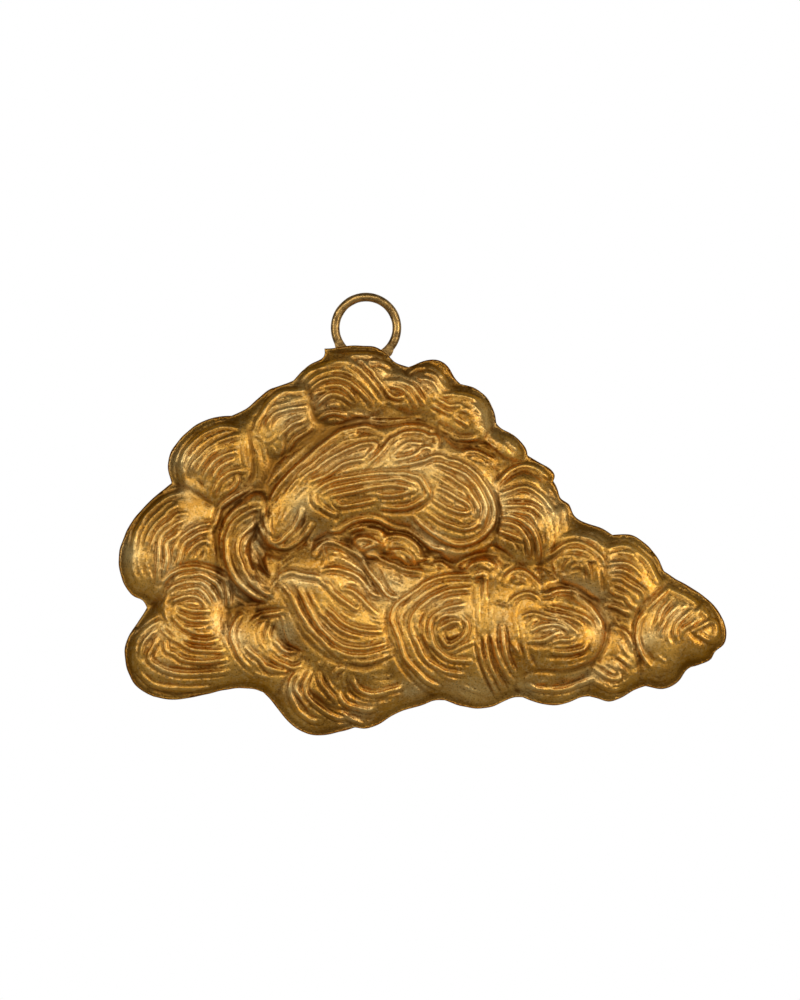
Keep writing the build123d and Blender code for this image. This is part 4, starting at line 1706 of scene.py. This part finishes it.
@dataclass
class Studio:
    """The pale studio: floor, white surround, grey cards, two tall side lights, one above, and the camera."""

    middle: tuple[float, float, float] = (0.00336, -0.0025, -0.01702)
    camera_distance: float = 0.6
    view_height: float = 0.0985
    floor_level: float = -0.2
    left_light: float = 0.66
    right_light: float = 1.08
    upper_light: float = 0.66

    def cards(self) -> list[Card]:
        """List the cards that shape what the metal mirrors."""
        return [
            Card("front_wall", (0.0, -0.95, 0.0), (0.9, 0.0, 0.0), (0.0, 0.0, 0.9), 0.17),
            Card("front_card", (0.08, -0.90, 0.12), (0.8, 0.0, 0.0), (0.0, 0.0, 0.36), 0.56),
            Card("back_card", (0.0, 0.95, 0.0), (0.9, 0.0, 0.0), (0.0, 0.0, 0.9), 0.60),
            Card("low_card", (0.0, 0.0, -0.17), (0.69, 0.0, 0.0), (0.0, 0.69, 0.0), 0.27),
            Card("top_card", (0.0, 0.0, 0.9), (0.95, 0.0, 0.0), (0.0, 0.95, 0.0), 0.15),
            Card("left_card", (-0.95, 0.0, 0.0), (0.0, 0.95, 0.0), (0.0, 0.0, 0.9), 0.16),
            Card("right_card", (0.95, 0.0, 0.0), (0.0, 0.95, 0.0), (0.0, 0.0, 0.9), 0.32),
        ]

    def build_floor(self) -> None:
        """Build the plain pale floor under the charm."""
        corners = np.array([[-0.7, -0.7, 0.0], [0.7, -0.7, 0.0], [0.7, 0.7, 0.0], [-0.7, 0.7, 0.0]])
        floor = make_piece("floor", corners + (0.0, 0.0, self.floor_level), np.array([[0, 1, 2], [0, 2, 3]]), {})
        finish = Finish("pale_floor")
        finish.shader.inputs["Base Color"].default_value = (0.80, 0.80, 0.78, 1.0)
        finish.shader.inputs["Roughness"].default_value = 0.8
        floor.data.materials.append(finish.material)

    def build_light(
        self, name: str, place: tuple[float, float, float], width: float, height: float, power: float
    ) -> None:
        """Hang a soft light that faces the charm.

        Args:
            name: its name.
            place: where it hangs.
            width: its width in metres.
            height: its height in metres.
            power: its power in watts.
        """
        lamp = bpy.data.lights.new(name, "AREA")
        lamp.shape = "RECTANGLE"
        lamp.size, lamp.size_y = width, height
        lamp.energy = power
        light = bpy.data.objects.new(name, lamp)
        light.location = place
        light.rotation_euler = (Vector(self.middle) - Vector(place)).to_track_quat("-Z", "Y").to_euler()
        light.visible_camera = False
        bpy.context.scene.collection.objects.link(light)

    def build_world(self) -> None:
        """Make the surround white where it is seen, mirrored or seen through, and dim as a light."""
        world = bpy.data.worlds.new("studio")
        world.use_nodes = True
        nodes, links = world.node_tree.nodes, world.node_tree.links
        nodes.clear()
        path = nodes.new("ShaderNodeLightPath")
        seen = nodes.new("ShaderNodeMath")
        seen.operation = "MAXIMUM"
        links.new(path.outputs["Is Camera Ray"], seen.inputs[0])
        links.new(path.outputs["Is Glossy Ray"], seen.inputs[1])
        any_way = nodes.new("ShaderNodeMath")
        any_way.operation = "MAXIMUM"
        links.new(seen.outputs[0], any_way.inputs[0])
        links.new(path.outputs["Is Transmission Ray"], any_way.inputs[1])
        colour = nodes.new("ShaderNodeMix")
        colour.data_type = "RGBA"
        colour.inputs[6].default_value = (0.80, 0.80, 0.80, 1.0)
        colour.inputs[7].default_value = (1.0, 1.0, 1.0, 1.0)
        links.new(any_way.outputs[0], colour.inputs[0])
        background = nodes.new("ShaderNodeBackground")
        background.inputs["Strength"].default_value = 1.0
        links.new(colour.outputs[2], background.inputs["Color"])
        links.new(background.outputs["Background"], nodes.new("ShaderNodeOutputWorld").inputs["Surface"])
        bpy.context.scene.world = world

    def build_camera(self) -> None:
        """Set the camera square to the charm: half the view's height over the distance is 18 mm over the lens."""
        data = bpy.data.cameras.new("camera")
        data.lens = 18.0 * self.camera_distance / (self.view_height / 2.0)
        data.clip_start, data.clip_end = 0.01, 10.0
        camera = bpy.data.objects.new("camera", data)
        camera.location = Vector(self.middle) - Vector((0.0, self.camera_distance, 0.0))
        camera.rotation_euler = (np.pi / 2.0, 0.0, 0.0)
        bpy.context.scene.collection.objects.link(camera)
        bpy.context.scene.camera = camera

    def build(self) -> None:
        """Build the whole studio."""
        bpy.context.scene.view_settings.view_transform = "Standard"
        self.build_floor()
        for card in self.cards():
            card.build()
        self.build_light("left_light", (-0.40, -0.36, 0.08), 0.16, 0.40, self.left_light)
        self.build_light("right_light", (0.40, -0.36, 0.06), 0.16, 0.40, self.right_light)
        self.build_light("upper_light", (0.0, -0.50, 0.24), 0.60, 0.12, self.upper_light)
        self.build_world()
        self.build_camera()


def main() -> None:
    """Build the charm and its studio, and report each piece."""
    logging.basicConfig(level=logging.INFO, format="%(message)s")
    Studio().build()
    plaque = Plaque()
    plaque.dress(plaque.build(), GiltSheet())
    ring = HangingRing()
    ring.dress(ring.build(), RingWire())
    log.info("ring: wire of %.1f mm bent to %.1f mm outside", ring.wire_diameter, ring.outer_diameter)
    solder = SolderFinish()
    for drop in (
        SolderDrop(Side.LEFT, foot_drop=0.27, length=2.0, width=1.5),
        SolderDrop(Side.RIGHT, foot_drop=0.6, length=1.7, width=1.35),
    ):
        drop.dress(drop.build(), solder)
        log.info("solder: %s foot, %.1f mm long", drop.side.name.lower(), drop.length)


if __name__ == "__main__":
    main()
